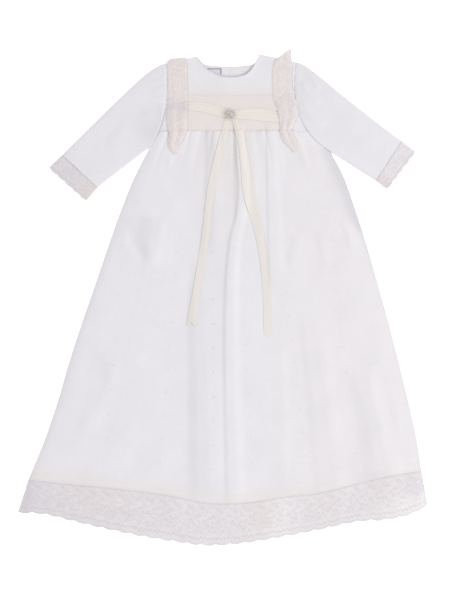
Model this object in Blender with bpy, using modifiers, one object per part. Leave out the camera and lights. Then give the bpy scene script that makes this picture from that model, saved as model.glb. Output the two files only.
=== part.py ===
"""A christening gown laid flat on its back, with lace braces, a ribbon sash and a deep lace hem.

Sizes are in millimetres until the last step, which builds in metres. X runs across the gown to the right as
it is seen from above, Y up towards the neck and Z up from the surface that it lies on.
"""

from collections import namedtuple
from math import pi

import bmesh
import bpy
import numpy as np
from mathutils import Vector
from mathutils.bvhtree import BVHTree

MM = 0.001
SHARP_ANGLE = pi / 4

# Cloth
WALL = 1.2
LACE_WALL = 1.0
RIBBON_WALL = 1.0
LABEL_WALL = 0.4
SEAM_GAP = 0.3
LAY_GAP = 0.35
MOST_LOFT = 3.3
BASE_LOFT = 0.5
CHEST_LOFT = 0.9
NECK_LOFT = 1.2
EDGE_ROLL = 24.0
NECK_BAND = 15.0
NECK_HALF_WIDTH = 62.0

# Levels that the pieces are cut to, along Y
YOKE_SEAM_Y = 312.8
WAIST_Y = 258.0
SHOULDER_Y = 366.0
ARMPIT_Y = 215.0
BODICE_RISE = 70.0
BODICE_REACH = 40.0
HEM_Y = -380.0
CENTRE_BACK_X = 9.0

# Steps of the panels' grids
YOKE_STEPS = 3
BAND_STEPS = 3
SIDE_STEPS = 3
BAND_COLUMNS = 20
SHOULDER_STEPS = 2

# Scallops of the lace
HEM_SCALLOPS = 29
SCALLOP_STEPS = 4
HEM_SCALLOP_DEPTH = 3.4
CUFF_SCALLOP_DEPTH = 1.6

# Sleeve tubes
SLEEVE_EDGE_RADIUS = 1.9
EDGE_TURN = 50.0
SLEEVE_HEIGHT = 5.2
SLEEVE_WALL = 1.1
SLEEVE_RINGS = np.array([0.0, 0.10, 0.24, 0.42, 0.62, 0.82, 1.0])
SLEEVE_HEAD_PLEAT = 0.8
SLEEVE_HEAD_REACH = 0.5
CUFF_WALL = 1.0
CUFF_HEIGHT = 4.4

# Button: its turned profile, from the top of its dome over its rim to its foot
BUTTON_XY = (13.0, 283.0)
BUTTON_STEPS = 20
Turn = namedtuple("Turn", "radius height")
BUTTON = [
    Turn(0.0, 4.2),
    Turn(2.4, 4.0),
    Turn(4.6, 3.4),
    Turn(5.9, 2.7),
    Turn(6.7, 3.0),
    Turn(7.6, 2.8),
    Turn(8.0, 1.9),
    Turn(7.8, 0.7),
    Turn(6.4, 0.0),
    Turn(0.0, 0.0),
]

# The skirt's two edges, by their share of the way down to the lace
Side = namedtuple("Side", "down left_x left_y right_x right_y")
SIDES = [
    Side(0.00, -112.3, 233.4, 167.0, 225.7),
    Side(0.09, -136.0, 187.0, 184.0, 189.0),
    Side(0.20, -155.0, 141.0, 204.0, 132.0),
    Side(0.40, -194.5, 28.0, 238.0, 28.0),
    Side(0.64, -236.0, -95.0, 271.0, -95.0),
    Side(0.78, -256.5, -165.0, 288.0, -165.0),
    Side(0.88, -275.0, -219.0, 299.0, -215.0),
    Side(1.00, -300.0, -280.0, 307.0, -266.5),
]

# The lace's seam and its lower edge, along X
Hem = namedtuple("Hem", "x seam_y edge_y")
HEM = [
    Hem(-316.0, -279.0, -327.8),
    Hem(-290.0, -281.0, -332.9),
    Hem(-237.0, -286.5, -342.2),
    Hem(-169.0, -293.0, -357.0),
    Hem(-84.0, -304.0, -372.4),
    Hem(-20.0, -316.0, -378.6),
    Hem(40.0, -314.5, -376.0),
    Hem(93.0, -306.5, -366.6),
    Hem(150.0, -299.5, -355.6),
    Hem(214.0, -284.0, -343.6),
    Hem(250.0, -275.5, -338.4),
    Hem(297.0, -267.5, -326.5),
    Hem(316.0, -265.5, -315.0),
]

# The front's neckline and the back's, along X
Neck = namedtuple("Neck", "x front_y back_y")
NECK = [
    Neck(-40.5, 371.5, 371.5),
    Neck(-34.5, 365.4, 365.4),
    Neck(-28.0, 357.5, 361.0),
    Neck(-18.0, 349.5, 358.4),
    Neck(-5.0, 343.3, 357.2),
    Neck(9.0, 341.3, 356.8),
    Neck(25.0, 342.5, 357.2),
    Neck(38.0, 347.2, 358.6),
    Neck(47.0, 357.0, 361.5),
    Neck(52.5, 366.5, 366.5),
    Neck(58.0, 375.0, 375.0),
]

# Four control points of a curve each, from the shoulder to the armpit or the cuff
LEFT_ARMHOLE = [(-86.0, 363.0), (-86.0, 313.6), (-87.6, 267.3), (-112.3, 233.4)]
RIGHT_ARMHOLE = [(113.0, 364.5), (110.0, 313.6), (108.4, 264.2), (167.0, 225.7)]
LEFT_SLEEVE_TOP = [(-86.0, 363.0), (-112.3, 358.4), (-138.5, 327.5), (-246.5, 219.5)]
RIGHT_SLEEVE_TOP = [(113.0, 364.5), (131.5, 366.1), (165.5, 324.4), (274.3, 241.1)]

Cuff = namedtuple("Cuff", "seam_top seam_under end_top end_under")
LEFT_CUFF = Cuff((-246.5, 219.5), (-192.5, 170.9), (-265.8, 200.5), (-209.5, 150.5))
RIGHT_CUFF = Cuff((274.3, 241.1), (235.7, 181.7), (295.1, 223.7), (252.7, 168.6))

# A fold steps up from left to right and slopes down again. Its line is the foot of the step, from its upper
# end to its lower end, where it fades out. Its widths are those at the waist, and they spread to the hem.
Foot = namedtuple("Foot", "x y")
Fold = namedtuple("Fold", "line step crown slope height")
FOLDS = [
    Fold([Foot(-31.0, 400.0), Foot(-30.0, 190.0), Foot(-33.0, 120.0), Foot(-38.0, 30.0)], 5, 9, 14, 1.9),
    Fold(
        [
            Foot(16.0, 400.0), Foot(17.0, 250.0), Foot(20.0, 130.0), Foot(10.0, 98.0), Foot(4.0, 64.0),
            Foot(0.0, 0.0), Foot(-2.0, -106.0), Foot(-1.0, -219.0), Foot(0.0, -345.0),
        ],
        4.5, 5, 9, 2.1,
    ),
    Fold([Foot(64.0, 400.0), Foot(65.0, 250.0), Foot(66.5, 130.0), Foot(70.0, 0.0)], 4.5, 6, 12, 1.5),
    Fold([Foot(-50.0, 80.0), Foot(-60.0, -3.0), Foot(-61.0, -150.0), Foot(-61.0, -345.0)], 10, 6, 8, 1.7),
    Fold([Foot(112.0, -10.0), Foot(126.0, -160.0), Foot(140.0, -345.0)], 8, 10, 13, 1.5),
    Fold([Foot(176.0, -90.0), Foot(206.0, -235.0), Foot(222.0, -345.0)], 12, 8, 13, 1.5),
    Fold([Foot(-104.0, 170.0), Foot(-150.0, -60.0), Foot(-206.0, -345.0)], 8, 7, 11, 1.1),
]
FOLD_SPREAD = 1.3
FOLD_FADE = 75.0
GATHERS = 14
GATHER_STEPS = 5
GATHER_HEIGHT = 1.3
GATHER_REACH = 0.12
GATHER_BEATS = (2.7, 1.9)
SKIRT_COLUMNS = GATHERS * GATHER_STEPS + 2 * SIDE_STEPS
SKIRT_ROWS = 20
SKIRT_ROW_SPREAD = 1.5
SKIRT_DOWN = np.linspace(0.0, 1.0, SKIRT_ROWS + 1) ** SKIRT_ROW_SPREAD

# A strip's rows run along it: its two edges, its lift off what it lies on, and the height of its ripples.
Row = namedtuple("Row", "x y half_width lift ripple")
LEFT_BRACE = [
    Row(-70.5, 370.6, 10.5, 1.2, 0.9),
    Row(-70.0, 364.0, 15.3, 0.2, 0.4),
    Row(-69.5, 340.0, 15.3, 0.0, 0.4),
    Row(-68.5, 312.0, 15.3, 0.0, 0.4),
    Row(-69.5, 298.0, 16.0, 1.2, 0.9),
    Row(-70.5, 281.0, 16.7, 2.2, 1.8),
    Row(-69.5, 265.0, 15.6, 2.4, 2.2),
    Row(-71.0, 251.0, 12.6, 1.8, 2.2),
    Row(-76.5, 240.0, 9.2, 1.2, 1.6),
    Row(-78.0, 231.0, 6.6, 0.8, 1.0),
    Row(-76.3, 223.5, 2.4, 0.4, 0.4),
]
RIGHT_BRACE = [
    Row(98.0, 378.0, 6.0, 4.6, 1.6),
    Row(94.6, 368.0, 13.0, 2.2, 1.2),
    Row(93.0, 357.0, 15.0, 0.2, 0.4),
    Row(92.0, 340.0, 15.3, 0.0, 0.4),
    Row(93.5, 314.0, 15.6, 0.0, 0.4),
    Row(99.5, 299.0, 16.0, 1.6, 1.0),
    Row(101.0, 284.0, 15.4, 2.6, 2.0),
    Row(98.5, 268.0, 10.5, 2.6, 2.4),
    Row(97.0, 258.0, 8.5, 2.2, 2.2),
    Row(101.0, 249.0, 10.2, 1.6, 1.8),
    Row(107.0, 238.0, 7.6, 1.0, 1.2),
    Row(111.0, 226.0, 2.6, 0.4, 0.4),
]
BRACE_RIPPLES = 2
SASH = [
    Row(-58.0, 297.0, 5.0, 0.0, 0.6),
    Row(-36.0, 295.5, 7.0, 0.0, 0.8),
    Row(-12.0, 290.5, 7.6, 0.0, 1.0),
    Row(5.0, 285.0, 6.4, 0.2, 1.2),
    Row(21.0, 284.0, 6.6, 0.2, 1.2),
    Row(40.0, 284.5, 8.4, 0.0, 1.0),
    Row(64.0, 282.5, 9.4, 0.0, 0.9),
    Row(88.0, 279.0, 7.0, 0.0, 0.6),
]
LEFT_TAIL = [
    Row(8.2, 283.0, 3.8, 0.0, 0.2),
    Row(4.5, 262.0, 5.2, 0.3, 0.4),
    Row(-2.0, 235.0, 6.4, 1.0, 0.5),
    Row(-12.0, 195.0, 6.2, 0.5, 0.4),
    Row(-19.0, 160.0, 6.0, 0.0, 0.3),
    Row(-27.0, 93.0, 6.2, 0.6, 0.4),
    Row(-38.5, 22.0, 5.8, 0.0, 0.3),
    Row(-49.5, -44.0, 7.2, 0.0, 0.3),
]
RIGHT_TAIL = [
    Row(17.0, 283.0, 3.8, 0.0, 0.2),
    Row(23.0, 262.0, 5.2, 0.3, 0.4),
    Row(30.5, 235.0, 6.0, 1.2, 0.5),
    Row(35.0, 195.0, 8.0, 0.6, 0.4),
    Row(38.5, 160.0, 9.4, 0.0, 0.3),
    Row(56.0, 93.0, 7.0, 0.6, 0.4),
    Row(64.5, 22.0, 6.0, 0.0, 0.3),
    Row(68.0, -54.0, 6.6, 0.0, 0.3),
]
SASH_RIPPLES = 2
TAIL_RIPPLES = 1
TAIL_NOTCH = 7.0
LABEL = ((-26.5, 346.0), (-2.0, 355.0))

# A strip bridges the hollows within this share of its step
BRIDGED = 0.6

Finish = namedtuple("Finish", "colour roughness metallic")
BATISTE = Finish((0.80, 0.79, 0.81, 1.0), 0.9, 0.0)
LACE = Finish((0.76, 0.71, 0.69, 1.0), 0.95, 0.0)
SATIN = Finish((0.80, 0.76, 0.68, 1.0), 0.5, 0.0)
JEWEL = Finish((0.62, 0.58, 0.57, 1.0), 0.3, 0.4)


def clear_scene():
    for old in list(bpy.data.objects):
        bpy.data.objects.remove(old)


def smooth_step(share):
    """0 below 0, 1 above 1, and an S curve between."""
    t = np.clip(share, 0.0, 1.0)
    return t * t * (3.0 - 2.0 * t)


def smooth_through(at, knots, values):
    """Values at the places given, on a smooth curve through the knots."""
    at, knots, values = np.asarray(at, float), np.asarray(knots, float), np.asarray(values, float)
    slopes = np.gradient(values, knots)
    i = np.clip(np.searchsorted(knots, at, side="right") - 1, 0, len(knots) - 2)
    width = knots[i + 1] - knots[i]
    t = (at - knots[i]) / width
    a = 2 * t**3 - 3 * t**2 + 1
    b = t**3 - 2 * t**2 + t
    c = t**3 - t**2
    return a * values[i] + b * width * slopes[i] + (1 - a) * values[i + 1] + c * width * slopes[i + 1]


def bezier(control, t):
    """Points of the cubic curve with these four control points."""
    p = np.asarray(control, float)
    t = np.asarray(t, float)[:, None]
    weights = ((1 - t) ** 3, 3 * t * (1 - t) ** 2, 3 * t**2 * (1 - t), t**3)
    return sum(w * q for w, q in zip(weights, p))


def between(start, end, shares):
    shares = np.asarray(shares, float)[:, None]
    return np.asarray(start, float) * (1 - shares) + np.asarray(end, float) * shares


def coons(top, bottom, left, right, down):
    """A grid of points bounded by four rows of points. down holds each row's share of the way to the bottom."""
    across = np.linspace(0.0, 1.0, len(top))[None, :, None]
    down = np.asarray(down, float)[:, None, None]
    ruled = (1 - down) * top[None] + down * bottom[None] + (1 - across) * left[:, None] + across * right[:, None]
    corners = (1 - down) * ((1 - across) * top[0] + across * top[-1])
    corners = corners + down * ((1 - across) * bottom[0] + across * bottom[-1])
    return ruled - corners


def share_at_y(control, y):
    """Where along a falling curve it is at the height y."""
    shares = np.linspace(0.0, 1.0, 2001)
    return float(shares[np.argmin(np.abs(bezier(control, shares)[:, 1] - y))])


def armhole_stations(control):
    """The places on an armhole where the body's rows end and the sleeve's points lie."""
    yoke = share_at_y(control, YOKE_SEAM_Y)
    waist = share_at_y(control, WAIST_Y)
    return np.concatenate([
        np.linspace(0.0, yoke, YOKE_STEPS + 1)[:-1],
        np.linspace(yoke, waist, BAND_STEPS + 1)[:-1],
        np.linspace(waist, 1.0, SIDE_STEPS + 1),
    ])


def body_edge(control, first, last, inward):
    """The body's edge along an armhole from one station to another, a seam's gap inside it."""
    points = bezier(control, armhole_stations(control)[first : last + 1])
    return points + np.array([inward * SEAM_GAP, 0.0])


def side_rows(down):
    """The skirt's left and right edges at these shares of the way to the lace seam."""
    knots = [row.down for row in SIDES]
    columns = [smooth_through(down, knots, [getattr(row, name) for row in SIDES]) for name in Side._fields[1:]]
    return np.stack(columns[:2], axis=1), np.stack(columns[2:], axis=1)


def hem_row(column, left_x, right_x, steps):
    """A row across the gown from one X to another, at one of the hem table's lines."""
    x = np.linspace(left_x, right_x, steps + 1)
    return np.column_stack([x, smooth_through(x, [row.x for row in HEM], [getattr(row, column) for row in HEM])])


def fold_loft(x, y):
    """How far the skirt's folds lift the front cloth at these points."""
    spread = 1.0 + FOLD_SPREAD * np.clip((WAIST_Y - y) / (WAIST_Y - HEM_Y), 0.0, 1.0)
    loft = np.zeros_like(x)
    for fold in FOLDS:
        upper, lower = fold.line[0].y, fold.line[-1].y
        foot_x = smooth_through(-np.clip(y, lower, upper), [-f.y for f in fold.line], [f.x for f in fold.line])
        off = (x - foot_x) / spread
        profile = smooth_step(off / fold.step)
        profile = profile * smooth_step((fold.step + fold.crown + fold.slope - off) / fold.slope)
        run = smooth_step((upper - y) / FOLD_FADE) * smooth_step((y - lower) / FOLD_FADE)
        loft = np.maximum(loft, fold.height * profile * run)
    return loft


def gather_loft(rows, columns):
    """How far the gathers lift the skirt's grid: waves along the waist whose crests follow its columns."""
    column = np.arange(columns) - SIDE_STEPS
    number = column / GATHER_STEPS
    wave = 0.5 - 0.5 * np.cos(2 * pi * number)
    height = GATHER_HEIGHT * (0.75 + 0.25 * np.sin(GATHER_BEATS[0] * number))
    reach = GATHER_REACH * (1.0 + 0.4 * np.sin(GATHER_BEATS[1] * number))
    fade = smooth_step(1 - rows[:, None] / reach[None])
    inside = (column >= 0) & (column <= GATHERS * GATHER_STEPS)
    return height * wave * inside * fade


def front_underside(x, y, gathers=0.0):
    """The underside of the gown's front cloth, from the surface that the gown lies on."""
    left, right = side_rows(np.linspace(0, 1, 41))
    left_x = np.interp(-y, np.append(-left[:, 1], -HEM_Y), np.append(left[:, 0], HEM[0].x))
    right_x = np.interp(-y, np.append(-right[:, 1], -HEM_Y), np.append(right[:, 0], HEM[-1].x))
    full_width = smooth_step((y - ARMPIT_Y) / BODICE_RISE) * BODICE_REACH
    inside = smooth_step(np.minimum(x - left_x + full_width, right_x + full_width - x) / EDGE_ROLL)
    neck_y = np.interp(x, [row.x for row in NECK], [row.front_y for row in NECK])
    near_neck = smooth_step(1.0 - np.abs(neck_y - y) / NECK_BAND)
    near_neck = near_neck * smooth_step((NECK_HALF_WIDTH - np.abs(x - CENTRE_BACK_X)) / EDGE_ROLL)
    plump = CHEST_LOFT * smooth_step((y - WAIST_Y) / NECK_BAND) * smooth_step((SHOULDER_Y - y) / NECK_BAND)
    loft = BASE_LOFT + fold_loft(x, y) * smooth_step((WAIST_Y + NECK_BAND - y) / NECK_BAND)
    loft = loft + NECK_LOFT * near_neck + plump + gathers
    return WALL + SEAM_GAP + np.minimum(inside * loft, MOST_LOFT)


def new_object(name, finish, collection):
    mesh = bpy.data.meshes.new(name)
    made = bpy.data.objects.new(name, mesh)
    collection.objects.link(made)
    material = bpy.data.materials.new(name)
    material.use_nodes = True
    shader = material.node_tree.nodes["Principled BSDF"]
    shader.inputs["Base Color"].default_value = finish.colour
    shader.inputs["Roughness"].default_value = finish.roughness
    shader.inputs["Metallic"].default_value = finish.metallic
    mesh.materials.append(material)
    return made


def cloth(name, grid, underside, wall, finish, collection):
    """A wall of cloth on a grid of points: a sheet at the underside's heights, extruded straight up."""
    rows, columns = grid.shape[:2]
    made = new_object(name, finish, collection)
    bm = bmesh.new()
    bmesh.ops.create_grid(bm, x_segments=columns - 1, y_segments=rows - 1, size=1.0)
    bm.verts.ensure_lookup_table()
    heights = np.broadcast_to(underside, (rows, columns))
    flat = np.concatenate([grid.reshape(-1, 2), heights.reshape(-1, 1)], axis=1) * MM
    for vertex, place in zip(bm.verts, flat):
        vertex.co = place
    raised = bmesh.ops.extrude_face_region(bm, geom=bm.faces[:], use_keep_orig=True)
    moved = [v for v in raised["geom"] if isinstance(v, bmesh.types.BMVert)]
    bmesh.ops.translate(bm, verts=moved, vec=(0.0, 0.0, wall * MM))
    bmesh.ops.recalc_face_normals(bm, faces=bm.faces[:])
    bm.to_mesh(made.data)
    bm.free()
    made.data.shade_smooth()
    made.data.set_sharp_from_angle(angle=SHARP_ANGLE)
    return made


def tube(name, rings, finish, collection):
    """A closed wall between an outer and an inner ring of points at each section."""
    sections, _, count = rings.shape[:3]
    made = new_object(name, finish, collection)
    bm = bmesh.new()
    loops = [[[bm.verts.new(p * MM) for p in ring] for ring in pair] for pair in rings]
    walls = [(loops[i][side], loops[i + 1][side]) for i in range(sections - 1) for side in (0, 1)]
    walls += [(loops[0][0], loops[0][1]), (loops[-1][0], loops[-1][1])]
    for one, other in walls:
        for k in range(count):
            n = (k + 1) % count
            bm.faces.new((one[k], one[n], other[n], other[k]))
    bmesh.ops.recalc_face_normals(bm, faces=bm.faces[:])
    bm.to_mesh(made.data)
    bm.free()
    made.data.shade_smooth()
    made.data.set_sharp_from_angle(angle=SHARP_ANGLE)
    return made


def flat_ring(line, edge_radius, height, inset, pleat=0.0):
    """The section of a flattened tube over a line of points, its back on the surface and its two sides rounded.

    inset is 0 for the outer face and the wall's thickness for the inner one. pleat is the height of the pleats
    across its upper side.
    """
    ends = between(line[0], line[1], [edge_radius / np.linalg.norm(line[1] - line[0])])[0]
    far_ends = between(line[-1], line[-2], [edge_radius / np.linalg.norm(line[-2] - line[-1])])[0]
    inner = np.vstack([ends, line[1:-1], far_ends])
    shares = np.linspace(0.0, 1.0, len(inner))
    rise = 2 * edge_radius + (height - 2 * edge_radius) * np.sin(pi * shares) ** 0.6
    rise[1:-1:2] += pleat
    top = np.column_stack([inner, rise - inset])
    bottom = np.column_stack([inner, np.full(len(inner), float(inset))])[::-1]
    radius = edge_radius - inset

    def rounded(centre, tip, turn):
        outward = (tip - centre) / np.linalg.norm(tip - centre)
        angles = np.radians([EDGE_TURN, 0.0, -EDGE_TURN]) * turn
        flat = centre + outward * (radius * np.cos(angles))[:, None]
        return np.column_stack([flat, edge_radius + radius * np.sin(angles)])

    return np.vstack([top, rounded(far_ends, line[-1], 1.0), bottom, rounded(ends, line[0], -1.0)])


def ring_pair(line, edge_radius, height, wall, pleat=0.0):
    return [flat_ring(line, edge_radius, height, inset, pleat) for inset in (0.0, wall)]


def sleeve(name, armhole, top, cuff, collection):
    """A sleeve's tube, from the armhole to the cuff's seam. Each section runs from its outer to its under edge."""
    stations = armhole_stations(armhole)
    along = SLEEVE_RINGS
    outer = bezier(top, along)
    under = between(armhole[-1], cuff.seam_under, along)
    bulge = bezier(armhole, stations) - between(armhole[0], armhole[-1], stations)
    lines = [
        between(o, u, stations) + (1 - share) ** 2 * bulge
        for o, u, share in zip(outer, under, along)
    ]
    pleats = SLEEVE_HEAD_PLEAT * smooth_step(1 - along / SLEEVE_HEAD_REACH)
    rings = [
        ring_pair(line, SLEEVE_EDGE_RADIUS, SLEEVE_HEIGHT, SLEEVE_WALL, pleat)
        for line, pleat in zip(lines, pleats)
    ]
    return tube(name, np.array(rings), BATISTE, collection)


def cuff_lace(name, armhole, cuff, collection):
    """The lace tube at a sleeve's end, with a scalloped edge."""
    stations = np.linspace(0.0, 1.0, len(armhole_stations(armhole)))
    axis = np.asarray(cuff.end_top, float) - np.asarray(cuff.seam_top, float)
    axis = axis / np.linalg.norm(axis)
    rings = []
    for share in (0.0, 0.5, 1.0):
        start = between(cuff.seam_top, cuff.end_top, [share])[0]
        end = between(cuff.seam_under, cuff.end_under, [share])[0]
        line = between(start, end, stations) + axis * (SEAM_GAP if share == 0.0 else 0.0)
        if share == 1.0:
            line[1::2] += axis * CUFF_SCALLOP_DEPTH
        rings.append(ring_pair(line, SLEEVE_EDGE_RADIUS, CUFF_HEIGHT, CUFF_WALL))
    return tube(name, np.array(rings), LACE, collection)


def neck_row(side, low, high, shoulder_left, shoulder_right):
    """The top row of a bodice panel between two X values: the shoulders and the neck between them."""
    across = np.array([row.x for row in NECK])
    heights = np.array([getattr(row, side) for row in NECK])
    xs = np.concatenate([
        np.linspace(shoulder_left[0], across[0], SHOULDER_STEPS + 1)[:-1],
        across,
        np.linspace(across[-1], shoulder_right[0], SHOULDER_STEPS + 1)[1:],
    ])
    ys = np.interp(
        xs,
        np.concatenate([[shoulder_left[0]], across, [shoulder_right[0]]]),
        np.concatenate([[shoulder_left[1]], heights, [shoulder_right[1]]]),
    )
    keep = (xs > low + 1e-6) & (xs < high - 1e-6)
    inner = np.column_stack([xs[keep], ys[keep]])
    ends = np.interp([low, high], xs, ys)
    return np.vstack([[low, ends[0]], inner, [high, ends[1]]])


def bodice_grid(side, low_x, high_x, bottom_y, last_station):
    """Points of a bodice panel between two X values, from the shoulders and neck down to a seam."""
    left_edge = body_edge(LEFT_ARMHOLE, 0, last_station, 1)
    right_edge = body_edge(RIGHT_ARMHOLE, 0, last_station, -1)
    low = left_edge[0][0] if low_x is None else low_x
    high = right_edge[0][0] if high_x is None else high_x
    top = neck_row(side, low, high, left_edge[0], right_edge[0])
    down = np.linspace(0.0, 1.0, last_station + 1)
    left = left_edge if low_x is None else between(top[0], (low_x, bottom_y), down)
    right = right_edge if high_x is None else between(top[-1], (high_x, bottom_y), down)
    share = (top[:, 0] - top[0, 0]) / (top[-1, 0] - top[0, 0])
    bottom = between((left[-1][0], bottom_y), (right[-1][0], bottom_y), share)
    left[-1, 1] = right[-1, 1] = bottom_y
    return coons(top, bottom, left, right, down)


def band_grid():
    """Points of the waist band between the yoke's seam and the gathered seam."""
    first, last = YOKE_STEPS, YOKE_STEPS + BAND_STEPS
    left = body_edge(LEFT_ARMHOLE, first, last, 1)
    right = body_edge(RIGHT_ARMHOLE, first, last, -1)
    for edge in (left, right):
        edge[0, 1] = YOKE_SEAM_Y - SEAM_GAP
        edge[-1, 1] = WAIST_Y
    shares = np.linspace(0.0, 1.0, BAND_COLUMNS + 1)
    down = np.linspace(0.0, 1.0, BAND_STEPS + 1)
    return coons(between(left[0], right[0], shares), between(left[-1], right[-1], shares), left, right, down)


def skirt_grid():
    """Points of a skirt panel: armpit to armpit along the waist at the top, and the lace seam at the foot."""
    first = YOKE_STEPS + BAND_STEPS
    left_top = body_edge(LEFT_ARMHOLE, first, first + SIDE_STEPS, 1)[::-1]
    right_top = body_edge(RIGHT_ARMHOLE, first, first + SIDE_STEPS, -1)
    left_top[-1, 1] = right_top[0, 1] = WAIST_Y - SEAM_GAP
    waist = between(left_top[-1], right_top[0], np.linspace(0.0, 1.0, SKIRT_COLUMNS - 2 * SIDE_STEPS + 1))
    top = np.vstack([left_top[:-1], waist, right_top[1:]])
    left, right = side_rows(SKIRT_DOWN)
    bottom = hem_row("seam_y", left[-1, 0], right[-1, 0], SKIRT_COLUMNS)
    left[0], right[0], left[-1], right[-1] = top[0], top[-1], bottom[0], bottom[-1]
    return coons(top, bottom, left, right, SKIRT_DOWN)


def hem_lace_grid():
    """Points of a hem lace panel, whose lower edge is a row of scallops."""
    columns = HEM_SCALLOPS * SCALLOP_STEPS
    left, right = side_rows([1.0])
    coarse = hem_row("seam_y", left[0, 0], right[0, 0], SKIRT_COLUMNS)
    x = np.linspace(left[0, 0], right[0, 0], columns + 1)
    top = np.column_stack([x, np.interp(x, coarse[:, 0], coarse[:, 1]) - SEAM_GAP])
    bottom = hem_row("edge_y", HEM[0].x, HEM[-1].x, columns)
    bottom[:, 1] += HEM_SCALLOP_DEPTH * (0.6 - np.abs(np.sin(pi * np.arange(columns + 1) / SCALLOP_STEPS)))
    down = np.array([0.0, 0.5, 1.0])
    return coons(top, bottom, between(top[0], bottom[0], down), between(top[-1], bottom[-1], down), down)


def strip_grid(rows, steps, columns, notch=0.0):
    """Points of a strip along its rows, with the lifts and ripples at each. A notch is cut into its far end."""
    knots = np.arange(len(rows))
    at = np.linspace(0, len(rows) - 1, steps + 1)
    x, y, half, lift, ripple = (smooth_through(at, knots, [getattr(r, f) for r in rows]) for f in Row._fields)
    path = np.column_stack([x, y])
    along = np.gradient(path, axis=0)
    along /= np.linalg.norm(along, axis=1)[:, None]
    across = np.column_stack([-along[:, 1], along[:, 0]])
    shares = np.linspace(-1.0, 1.0, columns + 1)
    grid = path[:, None] + across[:, None] * (half[:, None] * shares[None])[:, :, None]
    grid[-1] -= along[-1] * (notch * (1 - np.abs(shares)))[:, None]
    return grid, lift, ripple, shares


def highest_under(grid, below, reach):
    """The highest that the pieces below reach near each point, so that a strip bridges their hollows."""
    tops = []
    for piece in below:
        bm = bmesh.new()
        bm.from_mesh(piece.data)
        tops.append(BVHTree.FromBMesh(bm))
        bm.free()
    heights = np.full(grid.shape[:2], WALL + SEAM_GAP)
    offsets = [(dx, dy) for dx in (-reach, 0.0, reach) for dy in (-reach, -reach / 2, 0.0, reach / 2, reach)]
    for index in np.ndindex(*grid.shape[:2]):
        for dx, dy in offsets:
            start = Vector((grid[index][0] + dx, grid[index][1] + dy, 60.0)) * MM
            for tree in tops:
                hit = tree.ray_cast(start, Vector((0.0, 0.0, -1.0)))[0]
                if hit is not None:
                    heights[index] = max(heights[index], hit.z / MM)
    return heights


def strip(name, rows, below, finish, collection, steps, columns, ripples, notch=0.0, wall=RIBBON_WALL):
    """A lace or ribbon strip that lies on the pieces below it."""
    grid, lift, ripple, shares = strip_grid(rows, steps, columns, notch)
    reach = BRIDGED * np.linalg.norm(np.diff(grid[:-1], axis=0), axis=2).max()
    wave = 0.5 - 0.5 * np.cos(pi * ripples * (shares + 1.0))
    heights = highest_under(grid, below, reach) + LAY_GAP
    heights = heights + lift[:, None] + ripple[:, None] * wave[None]
    return cloth(name, grid, heights, wall, finish, collection)


def button(name, base_height, collection):
    """A domed jewel button with a raised rim: a turned profile, from the top of its dome to its foot."""
    made = new_object(name, JEWEL, collection)
    edges = [(i, i + 1) for i in range(len(BUTTON) - 1)]
    made.data.from_pydata([(turn.radius * MM, 0.0, turn.height * MM) for turn in BUTTON], edges, [])
    made.location = (BUTTON_XY[0] * MM, BUTTON_XY[1] * MM, base_height * MM)
    screw = made.modifiers.new("turn", "SCREW")
    screw.steps = screw.render_steps = BUTTON_STEPS
    screw.use_merge_vertices = True
    screw.merge_threshold = 0.00001
    return made


def build_back(collection):
    """The back's four panels, flat on the surface."""
    middle = SEAM_GAP / 2
    last = YOKE_STEPS + BAND_STEPS
    left = bodice_grid("back_y", None, CENTRE_BACK_X - middle, WAIST_Y, last)
    right = bodice_grid("back_y", CENTRE_BACK_X + middle, None, WAIST_Y, last)
    cloth("back_bodice_left", left, 0.0, WALL, BATISTE, collection)
    cloth("back_bodice_right", right, 0.0, WALL, BATISTE, collection)
    cloth("back_skirt", skirt_grid(), 0.0, WALL, BATISTE, collection)
    cloth("back_hem_lace", hem_lace_grid(), 0.0, WALL, LACE, collection)


def build_front(collection):
    """The front's yoke, waist band, skirt and hem lace, on one surface of folds. Returns them by name."""
    grids = {
        "front_yoke": (bodice_grid("front_y", None, None, YOKE_SEAM_Y, YOKE_STEPS), WALL, BATISTE),
        "waist_band": (band_grid(), WALL, LACE),
        "front_skirt": (skirt_grid(), WALL, BATISTE),
        "front_hem_lace": (hem_lace_grid(), LACE_WALL, LACE),
    }
    gathers = gather_loft(SKIRT_DOWN, SKIRT_COLUMNS + 1)
    made = {}
    for name, (grid, wall, finish) in grids.items():
        under = front_underside(grid[..., 0], grid[..., 1], gathers if name == "front_skirt" else 0.0)
        made[name] = cloth(name, grid, under, wall, finish, collection)
    return made


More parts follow.
